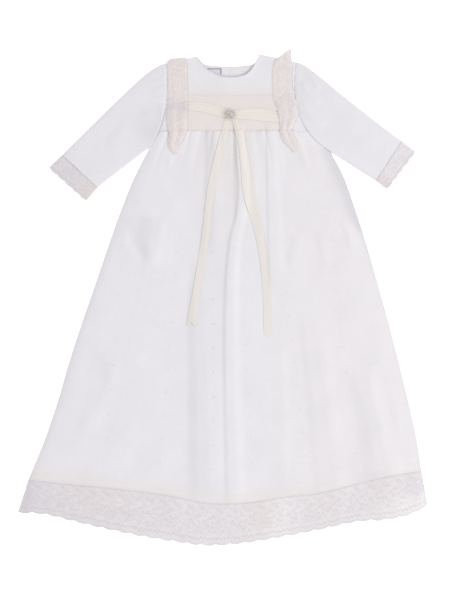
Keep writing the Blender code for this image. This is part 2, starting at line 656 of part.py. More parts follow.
def build_trim(front, collection):
    """The bow tails, sash, braces and button, each on what is below it, and the blank label in the neck."""
    bodice = [front["front_yoke"], front["waist_band"], front["front_skirt"]]
    tails = [
        strip("ribbon_tail_left", LEFT_TAIL, bodice, SATIN, collection, 30, 4, TAIL_RIPPLES, TAIL_NOTCH),
        strip("ribbon_tail_right", RIGHT_TAIL, bodice, SATIN, collection, 30, 4, TAIL_RIPPLES, -TAIL_NOTCH),
    ]
    sash = strip("ribbon_sash", SASH, bodice + tails, SATIN, collection, 22, 6, SASH_RIPPLES)
    over = bodice + tails + [sash]
    strip("brace_left", LEFT_BRACE, over, LACE, collection, 28, 8, BRACE_RIPPLES, wall=LACE_WALL)
    strip("brace_right", RIGHT_BRACE, over, LACE, collection, 30, 8, BRACE_RIPPLES, wall=LACE_WALL)
    radius = max(turn.radius for turn in BUTTON)
    foot = np.stack(np.meshgrid(*(c + radius * np.linspace(-1, 1, 7) for c in BUTTON_XY)), axis=-1)
    button("button", float(highest_under(foot, over, 1.0).max()) + LAY_GAP, collection)
    (low_x, low_y), (high_x, high_y) = LABEL
    corners = np.stack(np.meshgrid([low_x, high_x], [low_y, high_y]), axis=-1)
    cloth("neck_label", corners, WALL + SEAM_GAP, LABEL_WALL, BATISTE, collection)


def main():
    clear_scene()
    collection = bpy.data.collections.new("christening_gown")
    bpy.context.scene.collection.children.link(collection)
    build_back(collection)
    front = build_front(collection)
    for side, armhole, top, cuff in (
        ("left", LEFT_ARMHOLE, LEFT_SLEEVE_TOP, LEFT_CUFF),
        ("right", RIGHT_ARMHOLE, RIGHT_SLEEVE_TOP, RIGHT_CUFF),
    ):
        sleeve(f"sleeve_{side}", armhole, top, cuff, collection)
        cuff_lace(f"cuff_lace_{side}", armhole, cuff, collection)
    build_trim(front, collection)


main()
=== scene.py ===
"""Looks of a long-sleeved christening gown laid flat on its back: batiste, lace, ribbon and a jewel button.

Run as a script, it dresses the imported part. Shapes are worked out in millimetres and go into meshes in
metres. X runs across the gown to the right as it is seen from above, Y up towards the neck and Z up from
the floor.
"""

from collections import namedtuple
from math import pi, radians

import bpy
import numpy as np
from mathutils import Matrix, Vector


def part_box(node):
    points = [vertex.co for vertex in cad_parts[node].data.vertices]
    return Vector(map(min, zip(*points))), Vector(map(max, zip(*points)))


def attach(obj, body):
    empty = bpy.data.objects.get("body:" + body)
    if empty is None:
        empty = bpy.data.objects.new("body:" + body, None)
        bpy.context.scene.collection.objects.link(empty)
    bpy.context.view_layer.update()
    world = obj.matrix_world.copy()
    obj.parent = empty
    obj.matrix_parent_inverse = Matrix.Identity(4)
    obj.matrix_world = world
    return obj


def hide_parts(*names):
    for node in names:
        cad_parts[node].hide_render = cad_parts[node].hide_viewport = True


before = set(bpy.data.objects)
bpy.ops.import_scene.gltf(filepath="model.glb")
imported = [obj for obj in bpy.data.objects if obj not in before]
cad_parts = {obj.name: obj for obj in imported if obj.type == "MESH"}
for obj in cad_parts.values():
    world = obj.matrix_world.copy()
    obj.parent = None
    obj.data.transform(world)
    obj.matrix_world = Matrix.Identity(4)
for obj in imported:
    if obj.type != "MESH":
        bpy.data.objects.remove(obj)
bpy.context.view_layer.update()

bl_info = {
    "name": "Christening gown",
    "version": (1, 0, 0),
    "blender": (4, 5, 0),
    "location": "3D View > Sidebar > Gown",
    "description": "Dresses a christening gown laid flat with cloth, lace, ribbon, a button and embroidery",
    "category": "Object",
}

MM = 0.001
SMOOTH_ANGLE = radians(50)

# The gown's cut: the tables of its solids, some of them fitted closer to the photo

WALL = 1.2
SEAM_GAP = 0.3
SEAM_LINE = 0.04
REST_GAP = 0.06
BASE_LOFT = 0.5
CHEST_LOFT = 0.9
NECK_LOFT = 0.8
MOST_LOFT = 4.2
EDGE_ROLL = 24.0
NECK_BAND = 15.0
NECK_HALF_WIDTH = 62.0
YOKE_SEAM_Y = 312.8
WAIST_Y = 258.0
SHOULDER_Y = 366.0
ARMPIT_Y = 215.0
BODICE_RISE = 70.0
BODICE_REACH = 40.0
HEM_Y = -380.0
CENTRE_BACK_X = 9.0
HEM_SCALLOPS = 29
HEM_SCALLOP_DEPTH = 2.4
CUFF_SCALLOPS = 5
CUFF_SCALLOP_DEPTH = 1.6
SLEEVE_EDGE_RADIUS = 1.9
SLEEVE_HEIGHT = 5.2
CUFF_HEIGHT = 4.4
GATHERS = 14
GATHER_HEIGHT = 1.2
GATHER_REACH = 0.14
SIDE_SHARE = 3
SKIRT_UNITS = 76

Side = namedtuple("Side", "down left_x left_y right_x right_y")
SIDES = [
    Side(0.00, -112.3, 233.4, 167.0, 225.7),
    Side(0.09, -136.0, 187.0, 186.2, 189.0),
    Side(0.20, -155.0, 141.0, 206.4, 132.0),
    Side(0.40, -194.5, 28.0, 238.0, 28.0),
    Side(0.64, -236.0, -95.0, 271.0, -95.0),
    Side(0.78, -256.5, -165.0, 288.0, -165.0),
    Side(0.88, -275.0, -219.0, 299.0, -215.0),
    Side(1.00, -300.0, -280.0, 307.0, -266.5),
]

Hem = namedtuple("Hem", "x seam_y edge_y")
HEM = [
    Hem(-316.0, -279.0, -331.5),
    Hem(-290.0, -281.0, -331.8),
    Hem(-268.0, -283.3, -334.5),
    Hem(-237.0, -286.5, -342.5),
    Hem(-169.0, -293.0, -358.3),
    Hem(-84.0, -304.0, -374.0),
    Hem(-20.0, -316.0, -381.5),
    Hem(40.0, -314.5, -376.8),
    Hem(93.0, -306.5, -368.0),
    Hem(150.0, -299.5, -357.0),
    Hem(214.0, -284.0, -344.0),
    Hem(256.0, -274.4, -341.5),
    Hem(297.0, -267.5, -330.5),
    Hem(316.0, -265.5, -319.5),
]

Neck = namedtuple("Neck", "x front_y back_y")
NECK = [
    Neck(-40.5, 373.2, 373.2),
    Neck(-34.5, 367.0, 367.0),
    Neck(-28.0, 357.5, 361.8),
    Neck(-18.0, 349.5, 359.8),
    Neck(-5.0, 343.3, 358.6),
    Neck(9.0, 341.3, 358.2),
    Neck(25.0, 342.5, 358.5),
    Neck(38.0, 347.2, 360.0),
    Neck(47.0, 357.0, 361.5),
    Neck(52.5, 366.5, 366.5),
    Neck(58.0, 376.6, 376.6),
]

LEFT_ARMHOLE = [(-86.0, 363.0), (-86.0, 313.6), (-87.6, 267.3), (-112.3, 233.4)]
RIGHT_ARMHOLE = [(113.0, 364.5), (110.0, 313.6), (108.4, 264.2), (167.0, 225.7)]
LEFT_SLEEVE_TOP = [(-86.0, 363.0), (-112.3, 358.4), (-138.5, 328.5), (-247.5, 221.5)]
RIGHT_SLEEVE_TOP = [(113.0, 364.5), (131.5, 364.1), (166.0, 324.0), (275.5, 243.8)]

Cuff = namedtuple("Cuff", "seam_top seam_under end_top end_under")
LEFT_CUFF = Cuff((-247.5, 221.5), (-192.5, 170.9), (-267.5, 202.3), (-209.5, 150.5))
RIGHT_CUFF = Cuff((275.5, 243.8), (235.7, 181.7), (297.0, 227.0), (252.7, 168.6))

# A fold steps up from left to right and slopes down again. Its line is the foot of the step, from its upper
# end to its lower end, where it fades out. Its widths are those at the waist, and they spread to the hem. Its
# last column is painted shade: how far the cloth in it is coloured darker, as the shade that falls in the
# fold.
Foot = namedtuple("Foot", "x y")
Fold = namedtuple("Fold", "line step crown slope height layers")
FOLDS = [
    Fold(
        [Foot(-31.0, 400.0), Foot(-30.0, 190.0), Foot(-33.0, 120.0), Foot(-38.0, 30.0)],
        8, 8, 14, 0.9, 0.42,
    ),
    Fold(
        [
            Foot(16.5, 400.0), Foot(16.8, 250.0), Foot(17.5, 130.0), Foot(9.0, 98.0), Foot(4.0, 64.0),
            Foot(0.0, 0.0), Foot(-2.0, -106.0), Foot(-1.0, -219.0), Foot(0.0, -345.0),
        ],
        4.5, 5, 9, 2.0, 0.0,
    ),
    Fold([Foot(64.0, 400.0), Foot(65.0, 250.0), Foot(66.5, 130.0), Foot(70.0, 0.0)], 4.5, 6, 12, 1.2, 0.0),
    Fold(
        [Foot(-48.0, 80.0), Foot(-56.0, -3.0), Foot(-56.5, -150.0), Foot(-57.0, -345.0)],
        10, 8, 18, 1.8, 0.24,
    ),
    Fold([Foot(112.0, -10.0), Foot(126.0, -160.0), Foot(140.0, -345.0)], 8, 10, 13, 1.0, 0.05),
    Fold([Foot(180.0, -90.0), Foot(209.0, -235.0), Foot(225.0, -345.0)], 14, 6, 13, 2.3, 0.16),
    Fold([Foot(-104.0, 170.0), Foot(-150.0, -60.0), Foot(-206.0, -345.0)], 8, 7, 11, 0.4, 0.0),
]
FOLD_SPREAD = 1.3
FOLD_FADE = 75.0

# A crease runs from one point to another, bowed sideways by bend, with a width to its left and to its right
# as it is followed, and a height that is below 0 for a trough.
Crease = namedtuple("Crease", "x0 y0 x1 y1 bend left right height")
CREASES = [
    Crease(-79.0, 262.0, -84.0, 200.0, 2.0, 5.0, 5.0, 0.8),
    Crease(3.0, 262.0, 0.0, 205.0, 0.0, 4.0, 5.0, 0.7),
    Crease(22.0, 250.0, 22.0, 110.0, 0.0, 14.0, 3.5, 1.3),
    Crease(44.0, 262.0, 50.0, 150.0, 2.0, 6.0, 9.0, 0.8),
    Crease(88.0, 262.0, 96.0, 190.0, -3.0, 4.0, 7.0, 0.7),
    Crease(118.0, 262.0, 134.0, 196.0, -3.0, 4.0, 6.0, 0.8),
    Crease(117.0, 100.0, 103.0, 48.0, 0.0, 12.0, 6.0, 0.8),
    Crease(148.0, 108.0, 162.0, 44.0, 0.0, 12.0, 6.0, 0.8),
    Crease(179.0, 126.0, 198.0, 72.0, 5.0, 10.0, 4.5, 0.9),
    Crease(-160.0, 118.0, -136.0, 48.0, 0.0, 9.0, 15.0, 1.2),
    Crease(-110.0, 158.0, -110.0, 40.0, 0.0, 30.0, 15.0, 1.1),
    Crease(-126.0, 112.0, -108.0, 44.0, 0.0, 12.0, 8.0, 0.9),
    Crease(-134.0, 158.0, -92.0, 92.0, 0.0, 9.0, 14.0, 0.6),
    Crease(-104.0, 200.0, -70.0, 120.0, 4.0, 9.0, 12.0, 0.5),
    Crease(-162.0, -92.0, -224.0, -220.0, 6.0, 15.0, 10.0, 1.0),
    Crease(-206.0, -60.0, -168.0, -136.0, 4.0, 12.0, 10.0, 0.5),
    Crease(250.0, -60.0, 226.0, -190.0, -6.0, 12.0, 12.0, 0.6),
    Crease(150.0, -30.0, 172.0, -230.0, 4.0, 14.0, 16.0, 0.6),
    Crease(92.0, -60.0, 96.0, -300.0, 0.0, 7.0, 12.0, 0.6),
    Crease(268.0, -150.0, 272.0, -290.0, 0.0, 8.0, 10.0, 0.6),
]
# A tuck is a triangle of painted shade where a corner seems turned under: its corners, its soft edges and how
# dark it is
Tuck = namedtuple("Tuck", "corners soft layers")
TUCKS = [
    Tuck([(-166.0, 128.0), (-92.0, 124.0), (-112.0, 48.0)], 9.0, 0.22),
    Tuck([(-206.0, -88.0), (-168.0, -84.0), (-222.0, -206.0)], 14.0, 0.1),
    Tuck([(205.0, -196.0), (262.0, -288.0), (196.0, -292.0)], 14.0, 0.16),
    Tuck([(-42.0, 150.0), (16.0, 150.0), (-10.0, -260.0)], 22.0, 0.2),
]
# Soft waves of the cloth as it lies: wave length, direction, start and height
Swell = namedtuple("Swell", "length turn phase height")
SWELLS = [
    Swell(92.0, 18.0, 0.6, 0.22),
    Swell(63.0, -34.0, 2.1, 0.15),
    Swell(47.0, 61.0, 4.0, 0.09),
    Swell(34.0, -12.0, 1.3, 0.04),
]
SLEEVE_CREASES = [
    Crease(-94.0, 302.0, -78.0, 240.0, -4.0, 5.0, 9.0, 1.6),
    Crease(-124.0, 292.0, -92.0, 232.0, 6.0, 10.0, 16.0, 1.4),
    Crease(-170.0, 262.0, -118.0, 212.0, 4.0, 12.0, 26.0, 1.4),
    Crease(-150.0, 312.0, -102.0, 348.0, 0.0, 12.0, 14.0, 0.9),
    Crease(118.0, 360.0, 148.0, 320.0, 4.0, 9.0, 4.0, 1.5),
    Crease(121.0, 338.0, 152.0, 300.0, -5.0, 9.0, 5.0, 1.1),
    Crease(118.0, 306.0, 160.0, 262.0, -4.0, 11.0, 6.0, 1.1),
    Crease(186.0, 214.0, 232.0, 186.0, 0.0, 8.0, 7.0, 0.9),
    Crease(176.0, 272.0, 236.0, 232.0, 4.0, 16.0, 12.0, 0.5),
]

# Painted shade on a sleeve: where it is coloured darker as shade, how far that reaches and how dark it is
Shade = namedtuple("Shade", "x y reach layers")
SLEEVE_SHADES = {
    "left": [
        Shade(-98.0, 252.0, 38.0, 0.55),
        Shade(-108.0, 335.0, 36.0, 0.12),
        Shade(-205.0, 205.0, 34.0, 0.1),
    ],
    "right": [
        Shade(118.0, 300.0, 44.0, 0.38),
        Shade(138.0, 348.0, 32.0, 0.34),
        Shade(200.0, 270.0, 60.0, 0.16),
    ],
}

# A strip's rows run along it: its middle, its half width, its lift off what it lies on, and the height of
# its ripples
Row = namedtuple("Row", "x y half_width lift ripple")
LEFT_BRACE = [
    Row(-70.5, 370.6, 10.5, 1.2, 0.9),
    Row(-70.0, 364.0, 15.3, 0.2, 0.4),
    Row(-69.5, 340.0, 15.3, 0.0, 0.4),
    Row(-68.5, 312.0, 15.3, 0.0, 0.4),
    Row(-69.5, 298.0, 16.0, 1.2, 0.9),
    Row(-70.5, 281.0, 16.7, 2.2, 1.8),
    Row(-69.5, 265.0, 15.6, 2.4, 2.2),
    Row(-71.0, 251.0, 12.6, 1.8, 2.2),
    Row(-75.0, 240.0, 9.6, 1.2, 1.6),
    Row(-75.5, 231.0, 6.2, 0.8, 1.0),
    Row(-73.0, 222.5, 1.8, 0.4, 0.4),
]
RIGHT_BRACE = [
    Row(95.0, 378.5, 7.6, 3.0, 1.6),
    Row(93.5, 371.0, 11.4, 2.0, 1.2),
    Row(93.0, 357.0, 15.0, 0.2, 0.4),
    Row(92.0, 340.0, 15.3, 0.0, 0.4),
    Row(93.5, 314.0, 15.6, 0.0, 0.4),
    Row(99.5, 299.0, 16.0, 1.6, 1.0),
    Row(101.0, 284.0, 15.4, 2.6, 2.0),
    Row(98.5, 268.0, 10.5, 2.6, 2.4),
    Row(97.0, 258.0, 8.5, 2.2, 2.2),
    Row(101.0, 249.0, 10.2, 1.6, 1.8),
    Row(107.0, 238.0, 7.6, 1.0, 1.2),
    Row(111.0, 226.0, 2.6, 0.4, 0.4),
]
# A folded edge across a brace: how far along it, how far its ends slant, and its height
BraceFold = namedtuple("BraceFold", "at slant height")
LEFT_BRACE_FOLDS = [BraceFold(64.0, 3.0, 0.8), BraceFold(96.0, -9.0, 0.5), BraceFold(118.0, 8.0, 0.5)]
RIGHT_BRACE_FOLDS = [BraceFold(11.0, 6.0, 0.4), BraceFold(66.0, -3.0, 0.5), BraceFold(100.0, 9.0, 0.5)]
SASH = [
    Row(-58.0, 297.0, 5.0, 0.0, 0.6),
    Row(-36.0, 295.5, 7.0, 0.0, 0.8),
    Row(-12.0, 290.5, 7.6, 0.0, 1.0),
    Row(5.0, 285.0, 6.4, 0.2, 1.2),
    Row(21.0, 284.0, 6.6, 0.2, 1.2),
    Row(40.0, 284.5, 8.4, 0.0, 1.0),
    Row(64.0, 282.5, 9.4, 0.0, 0.9),
    Row(88.0, 279.0, 7.0, 0.0, 0.6),
]
LEFT_TAIL = [
    Row(8.2, 283.0, 3.8, 0.0, 0.2),
    Row(4.5, 262.0, 5.2, 0.3, 0.4),
    Row(-2.0, 235.0, 6.4, 1.0, 0.5),
    Row(-12.0, 195.0, 6.2, 0.5, 0.4),
    Row(-19.0, 160.0, 6.0, 0.0, 0.3),
    Row(-27.0, 93.0, 6.2, 0.6, 0.4),
    Row(-38.5, 22.0, 5.8, 0.0, 0.3),
    Row(-49.5, -44.0, 7.2, 0.0, 0.3),
]
RIGHT_TAIL = [
    Row(17.0, 283.0, 3.8, 0.0, 0.2),
    Row(23.0, 262.0, 5.2, 0.3, 0.4),
    Row(30.5, 235.0, 6.0, 1.2, 0.5),
    Row(36.5, 195.0, 8.0, 0.6, 0.4),
    Row(41.0, 160.0, 9.0, 0.0, 0.3),
    Row(58.5, 93.0, 7.0, 0.6, 0.4),
    Row(67.0, 22.0, 6.0, 0.0, 0.3),
    Row(70.0, -54.0, 6.6, 0.0, 0.3),
]
TAIL_NOTCH = 7.0
LABEL = ((-26.5, 346.0), (-2.0, 355.0))
BUTTON_XY = (13.0, 283.0)

# Embroidered sprigs stand in columns that fan out with the skirt
Column = namedtuple("Column", "x0 y0 x1 y1 sprigs")
SPRIG_COLUMNS = [
    Column(-153.9, 82.2, -181.7, -252.7, 10),
    Column(-70.6, 71.4, -96.8, -254.2, 10),
    Column(-16.0, 73.4, -15.0, -265.0, 10),
    Column(36.0, -73.2, 45.1, -254.2, 6),
    Column(99.0, 8.6, 128.0, -243.9, 8),
    Column(168.6, 89.9, 205.0, -239.7, 9),
]

# The bow's middle, the two ends of the band and of its colour, and the repeat of the band's fine check
BOW_X = 8.0
BAND_LEFT_X = -84.0
BAND_RIGHT_X = 112.0
BAND_CHECK = 5.2
# The facing inside the back's neck, whose warm colour is also painted shade there, the neck's edging,
# coloured to stand in for the shadow along the front neckline, the label's wall, and the corners of a
# sleeve's or cuff's round sides
FACING_DEPTH = 9.0
FACING_HALF_WIDTH = 50.0
EDGING_HALF_WIDTH = 0.9
LABEL_WALL = 0.35
TUBE_CORNERS = 5
# Rows and columns of the panels' and strips' meshes
BACK_PANEL_STEPS = 40
BACK_SKIRT_ROWS = 60
TAIL_STEPS = (260, 20)
SASH_STEPS = (220, 36)
BRACE_STEPS = (230, 48)
SLEEVE_STEPS = (121, 110)
CUFF_STEPS = (37, 101)
# Stitches: how many are in a seam of the bodice and of the hem, where the bodice's seams end at the right,
# and half a stitch's length and width
BODICE_STITCHES = 62
HEM_STITCHES = 180
SEAM_RIGHT_X = 108.0
STITCH_SIZE = (0.95, 0.22)
# A dot's place beside the middle between two sprigs, and the margin at the sides without dots
DOT_OFFSET = (38.0, 4.0)
DOT_MARGIN = 20.0

# Lace: the drawn meshes of its net, the depth and repeat of its borders, and where the braces cross the sash
HEM_NET = 2.6
FINE_NET = 1.7
BACK_LACE_DEPTH = 58.0
CUFF_LENGTH = 75.0
EDGE_SCALLOP = 7.0
BRACE_WIDTH = 31.0
BRACE_LACE_DEPTH = 27.0
BRACE_PITCH = 17.0
BRACE_CROSSING = 76.0

# Stretches along the hem lace that are warmer or paler: their middle, their reach and their strength
Stretch = namedtuple("Stretch", "x reach share")
WARM_STRETCHES = [
    Stretch(-190.0, 60.0, 0.4),
    Stretch(53.0, 22.0, 0.6),
    Stretch(160.0, 26.0, 0.35),
    Stretch(250.0, 30.0, 0.45),
]
PALE_STRETCH = Stretch(92.0, 24.0, 0.35)
PALE_CORNER = Stretch(300.0, 45.0, 0.8)
# Painted light along the hem lace: how pale it is coloured, from its darker left end, which is painted shade
PaintedLight = namedtuple("PaintedLight", "x share")
HEM_PAINTED_LIGHT = [
    PaintedLight(-310.0, 0.1),
    PaintedLight(-283.0, 0.35),
    PaintedLight(-225.0, 0.42),
    PaintedLight(0.0, 0.6),
    PaintedLight(175.0, 0.6),
    PaintedLight(300.0, 0.45),
]

# The button: radius and height of its turned parts, and its ring of stones
BUTTON_SETTING = [
    (0, 2.2), (3.4, 2.2), (4.2, 2.6), (4.6, 2.2), (5.7, 1.8), (7.0, 2.1), (7.5, 1.6), (7.3, 0.7),
    (6.2, 0), (0, 0),
]
CENTRE_STONE = [(0, 4.2), (2.3, 4.0), (3.7, 3.1), (4.1, 2.3), (0, 2.2)]
SMALL_STONE = [(0, 1.1), (0.7, 0.9), (1.15, 0.2), (0, 0)]
SMALL_STONES = 14
STONE_RING = 5.7
STONE_SEAT = 1.9

# The stage: the floor in millimetres, and the light and the camera in metres
FLOOR_Z = -0.2
KEY_SIZE = 3.4
KEY_PLACE = (2.9, -0.6, 3.16)
CAMERA_XY = (0.00347, -0.0027)
SENSOR_HEIGHT = 36.0
CLOTH_LEVEL = 0.004
PICTURE_HEIGHT = 0.9258


# Shared arithmetic


def linear(code):
    """A colour in linear light from its sRGB hex code: each part is (c + 0.055) / 1.055 to the power of 2.4,
    or c / 12.92 where c is small."""
    parts = [int(code[i : i + 2], 16) / 255 for i in (0, 2, 4)]
    return tuple(c / 12.92 if c <= 0.04045 else ((c + 0.055) / 1.055) ** 2.4 for c in parts)


def smooth_step(share):
    """0 below 0, 1 above 1, and 3t^2 - 2t^3 between."""
    t = np.clip(share, 0.0, 1.0)
    return t * t * (3.0 - 2.0 * t)


def bell(offset, width):
    """A bell curve e^-(offset/width)^2."""
    return np.exp(-((offset / width) ** 2))


def values_of(table, name):
    """One column of a table of named rows."""
    return [getattr(row, name) for row in table]


def smooth_through(at, knots, values):
    """A cubic between each two knots, whose slopes at the knots are their neighbours' mean slopes."""
    at, knots, values = np.asarray(at, float), np.asarray(knots, float), np.asarray(values, float)
    slopes = np.gradient(values, knots)
    i = np.clip(np.searchsorted(knots, at, side="right") - 1, 0, len(knots) - 2)
    width = knots[i + 1] - knots[i]
    t = (at - knots[i]) / width
    a = 2 * t**3 - 3 * t**2 + 1
    b = t**3 - 2 * t**2 + t
    c = t**3 - t**2
    return a * values[i] + b * width * slopes[i] + (1 - a) * values[i + 1] + c * width * slopes[i + 1]


def bezier(control, t):
    """The cubic curve with four control points, weighted (1-t)^3, 3t(1-t)^2, 3t^2(1-t) and t^3."""
    p = np.asarray(control, float)
    t = np.asarray(t, float)[:, None]
    weights = ((1 - t) ** 3, 3 * t * (1 - t) ** 2, 3 * t**2 * (1 - t), t**3)
    return sum(w * q for w, q in zip(weights, p))


def between(start, end, shares):
    """Points on the straight line from start to end, at these shares of it."""
    shares = np.asarray(shares, float)[:, None]
    return np.asarray(start, float) * (1 - shares) + np.asarray(end, float) * shares


def ruled(first, last, shares):
    """Straight lines of points, from each point of one row to the same point of another."""
    return first[:, None] * (1 - shares)[None, :, None] + last[:, None] * shares[None, :, None]


def coons(top, bottom, left, right, down):
    """A grid inside four edges: the two ruled grids between opposite edges, added, less the grid between the
    corners."""
    across = np.linspace(0.0, 1.0, len(top))[None, :, None]
    down = np.asarray(down, float)[:, None, None]
    grids = (1 - down) * top[None] + down * bottom[None]
    grids = grids + (1 - across) * left[:, None] + across * right[:, None]
    corners = (1 - down) * ((1 - across) * top[0] + across * top[-1])
    return grids - corners - down * ((1 - across) * bottom[0] + across * bottom[-1])


def share_at_y(control, y):
    """Where along a falling curve it is at the height y."""
    shares = np.linspace(0.0, 1.0, 2001)
    return float(shares[np.argmin(np.abs(bezier(control, shares)[:, 1] - y))])


def lengths(path):
    """How far along a path of points each of them is."""
    return np.concatenate([[0.0], np.cumsum(np.linalg.norm(np.diff(path, axis=0), axis=-1))])


# Heights of the cloth


def side_rows(down):
    """The skirt's left and right edges at these shares of the way to the lace seam."""
    knots = values_of(SIDES, "down")
    columns = [smooth_through(down, knots, values_of(SIDES, name)) for name in Side._fields[1:]]
    return np.stack(columns[:2], axis=1), np.stack(columns[2:], axis=1)


def side_distance(x, y):
    """How far inside the gown's two side edges a point is, across the gown, with the bodice taken as wide."""
    left, right = side_rows(np.linspace(0, 1, 81))
    left_x = np.interp(-y, np.append(-left[:, 1], -HEM_Y), np.append(left[:, 0], HEM[0].x))
    right_x = np.interp(-y, np.append(-right[:, 1], -HEM_Y), np.append(right[:, 0], HEM[-1].x))
    full_width = smooth_step((y - ARMPIT_Y) / BODICE_RISE) * BODICE_REACH
    return np.minimum(x - left_x + full_width, right_x + full_width - x)


def fold_place(fold, x, y):
    """How far right of a fold's foot a point is, as at the waist, and how strong the fold is there."""
    spread = 1.0 + FOLD_SPREAD * np.clip((WAIST_Y - y) / (WAIST_Y - HEM_Y), 0.0, 1.0)
    upper, lower = fold.line[0].y, fold.line[-1].y
    down = [-y for y in values_of(fold.line, "y")]
    foot_x = smooth_through(-np.clip(y, lower, upper), down, values_of(fold.line, "x"))
    run = smooth_step((upper - y) / FOLD_FADE) * smooth_step((y - lower) / FOLD_FADE)
    return (x - foot_x) / spread, run


def fold_loft(x, y):
    """The folds' lift: 0 left of the step, an S curve up it, its height on the crown, and an S curve down."""
    loft = np.zeros_like(x)
    for fold in FOLDS:
        off, run = fold_place(fold, x, y)
        profile = smooth_step(off / fold.step)
        profile = profile * smooth_step((fold.step + fold.crown + fold.slope - off) / fold.slope)
        loft = np.maximum(loft, fold.height * profile * run)
    return loft


def fold_painted_shade(x, y):
    """Painted shade in the folds, where the cloth is coloured darker: an S curve up over the step, and one
    down past the crown.
    """
    depth = np.zeros_like(x)
    for fold in FOLDS:
        off, run = fold_place(fold, x, y)
        profile = smooth_step(off / fold.step + 0.3) * smooth_step((fold.step + fold.crown - off) / 6.0 + 0.5)
        depth = np.maximum(depth, fold.layers * profile * run)
    return depth


def tuck_painted_shade(x, y):
    """Painted shade in the tucks: each tuck's shade times an S curve of the distance inside its nearest edge.
    """
    depth = np.zeros_like(x)
    for tuck in TUCKS:
        inside = np.full(x.shape, np.inf)
        for (ax, ay), (bx, by) in zip(tuck.corners, tuck.corners[1:] + tuck.corners[:1]):
            run = np.hypot(bx - ax, by - ay)
            inside = np.minimum(inside, ((x - ax) * (ay - by) + (y - ay) * (bx - ax)) / -run)
        depth = np.maximum(depth, tuck.layers * smooth_step(inside / tuck.soft + 0.5))
    return depth


def side_painted_shade(x, y):
    """Painted shade along the skirt's sides, where it is coloured darker: a bell of the distance from the
    side seam, whose width and strength grow towards the right armpit."""
    right = smooth_step((x - CENTRE_BACK_X) / 20.0)
    width = 9.0 * (1 - right) + right * (4.0 + 13.0 * smooth_step((y - 85.0) / 60.0))
    strength = 0.2 * (1 - right) + right * (0.35 + 0.6 * smooth_step((y - 20.0) / 70.0))
    return strength * bell(side_distance(x, y), width)


def crease_loft(x, y, creases):
    """The creases' lift: a bell across each, with its own width on each side, faded at its ends."""
    loft = np.zeros_like(x)
    for c in creases:
        run = np.hypot(c.x1 - c.x0, c.y1 - c.y0)
        ax, ay = (c.x1 - c.x0) / run, (c.y1 - c.y0) / run
        t = ((x - c.x0) * ax + (y - c.y0) * ay) / run
        off = (x - c.x0) * -ay + (y - c.y0) * ax - c.bend * 4 * t * (1 - t)
        width = np.where(off > 0, c.left, c.right)
        ends = smooth_step(t / 0.22) * smooth_step((1 - t) / 0.22)
        loft += c.height * bell(off, width) * ends
    return loft


def swell_loft(x, y):
    """Soft waves: sines along several directions, added."""
    loft = np.zeros_like(x)
    for s in SWELLS:
        along = x * np.cos(radians(s.turn)) + y * np.sin(radians(s.turn))
        loft += s.height * np.sin(2 * pi * along / s.length + s.phase)
    return loft


def front_top(x, y, gathers=0.0):
    """The front cloth's upper face: the wall on the back, the base loft, folds, creases and swells, rolled
    down at the gown's two sides and raised at the neckline."""
    cloth = bpy.context.scene.gown_cloth
    distance = side_distance(x, y)
    inside = smooth_step(distance / EDGE_ROLL)
    neck_y = np.interp(x, values_of(NECK, "x"), values_of(NECK, "front_y"))
    near_neck = smooth_step(1.0 - np.abs(neck_y - y) / NECK_BAND)
    near_neck = near_neck * smooth_step((NECK_HALF_WIDTH - np.abs(x - CENTRE_BACK_X)) / EDGE_ROLL)
    plump = CHEST_LOFT * smooth_step((y - WAIST_Y) / NECK_BAND) * smooth_step((SHOULDER_Y - y) / NECK_BAND)
    below = smooth_step((WAIST_Y + NECK_BAND - y) / NECK_BAND)
    loft = BASE_LOFT + cloth.fold_depth * fold_loft(x, y) * below
    loft = loft + NECK_LOFT * near_neck + plump + gathers
    loft = np.minimum(inside * loft, MOST_LOFT)
    loft = loft + inside * cloth.crease_depth * (crease_loft(x, y, CREASES) * below + swell_loft(x, y))
    edge = np.clip(1.0 - distance / 10.0, 0.0, 1.0) ** 2
    return 2 * WALL + SEAM_GAP + np.maximum(loft, 0.1) - 1.1 * edge


def gather_loft(rows, columns):
    """Gathers below the waist seam: pinched waves |sin| across the columns, which fade down the rows."""
    number = (columns - SIDE_SHARE) / (SKIRT_UNITS - 2 * SIDE_SHARE) * GATHERS
    wave = np.abs(np.sin(pi * number)) ** 0.7
    small = 0.25 * np.abs(np.sin(2 * pi * number + 0.8))
    height = GATHER_HEIGHT * (0.75 + 0.25 * np.sin(2.7 * number))
    reach = GATHER_REACH * (1.0 + 0.4 * np.sin(1.9 * number))
    inside = (number >= 0) & (number <= GATHERS)
    fade = smooth_step(1 - rows[:, None] / reach[None])
    near = smooth_step(1 - rows[:, None] / (0.4 * reach[None]))
    return height * inside * (wave * fade + small * near)


# Grids of the cut pieces


def neck_row(side, low, high, left_end, right_end, count):
    """The top row of a bodice panel: straight shoulders, and between them a smooth curve through the neck's
    table."""
    across, heights = values_of(NECK, "x"), values_of(NECK, side)
    x = np.linspace(low, high, count + 1)
    curve = smooth_through(np.clip(x, across[0], across[-1]), across, heights)
    ends_x = [left_end[0], across[0], across[-1], right_end[0]]
    ends_y = [left_end[1], heights[0], heights[-1], right_end[1]]
    straight = np.interp(x, ends_x, ends_y)
    return np.column_stack([x, np.where((x > across[0]) & (x < across[-1]), curve, straight)])


def armhole_edge(control, start_y, end_y, inward, count):
    """A body panel's edge along an armhole between two heights, a seam's gap inside it."""
    t0 = 0.0 if start_y is None else share_at_y(control, start_y)
    t1 = 1.0 if end_y is None else share_at_y(control, end_y)
    return bezier(control, np.linspace(t0, t1, count + 1)) + np.array([inward * SEAM_LINE, 0.0])


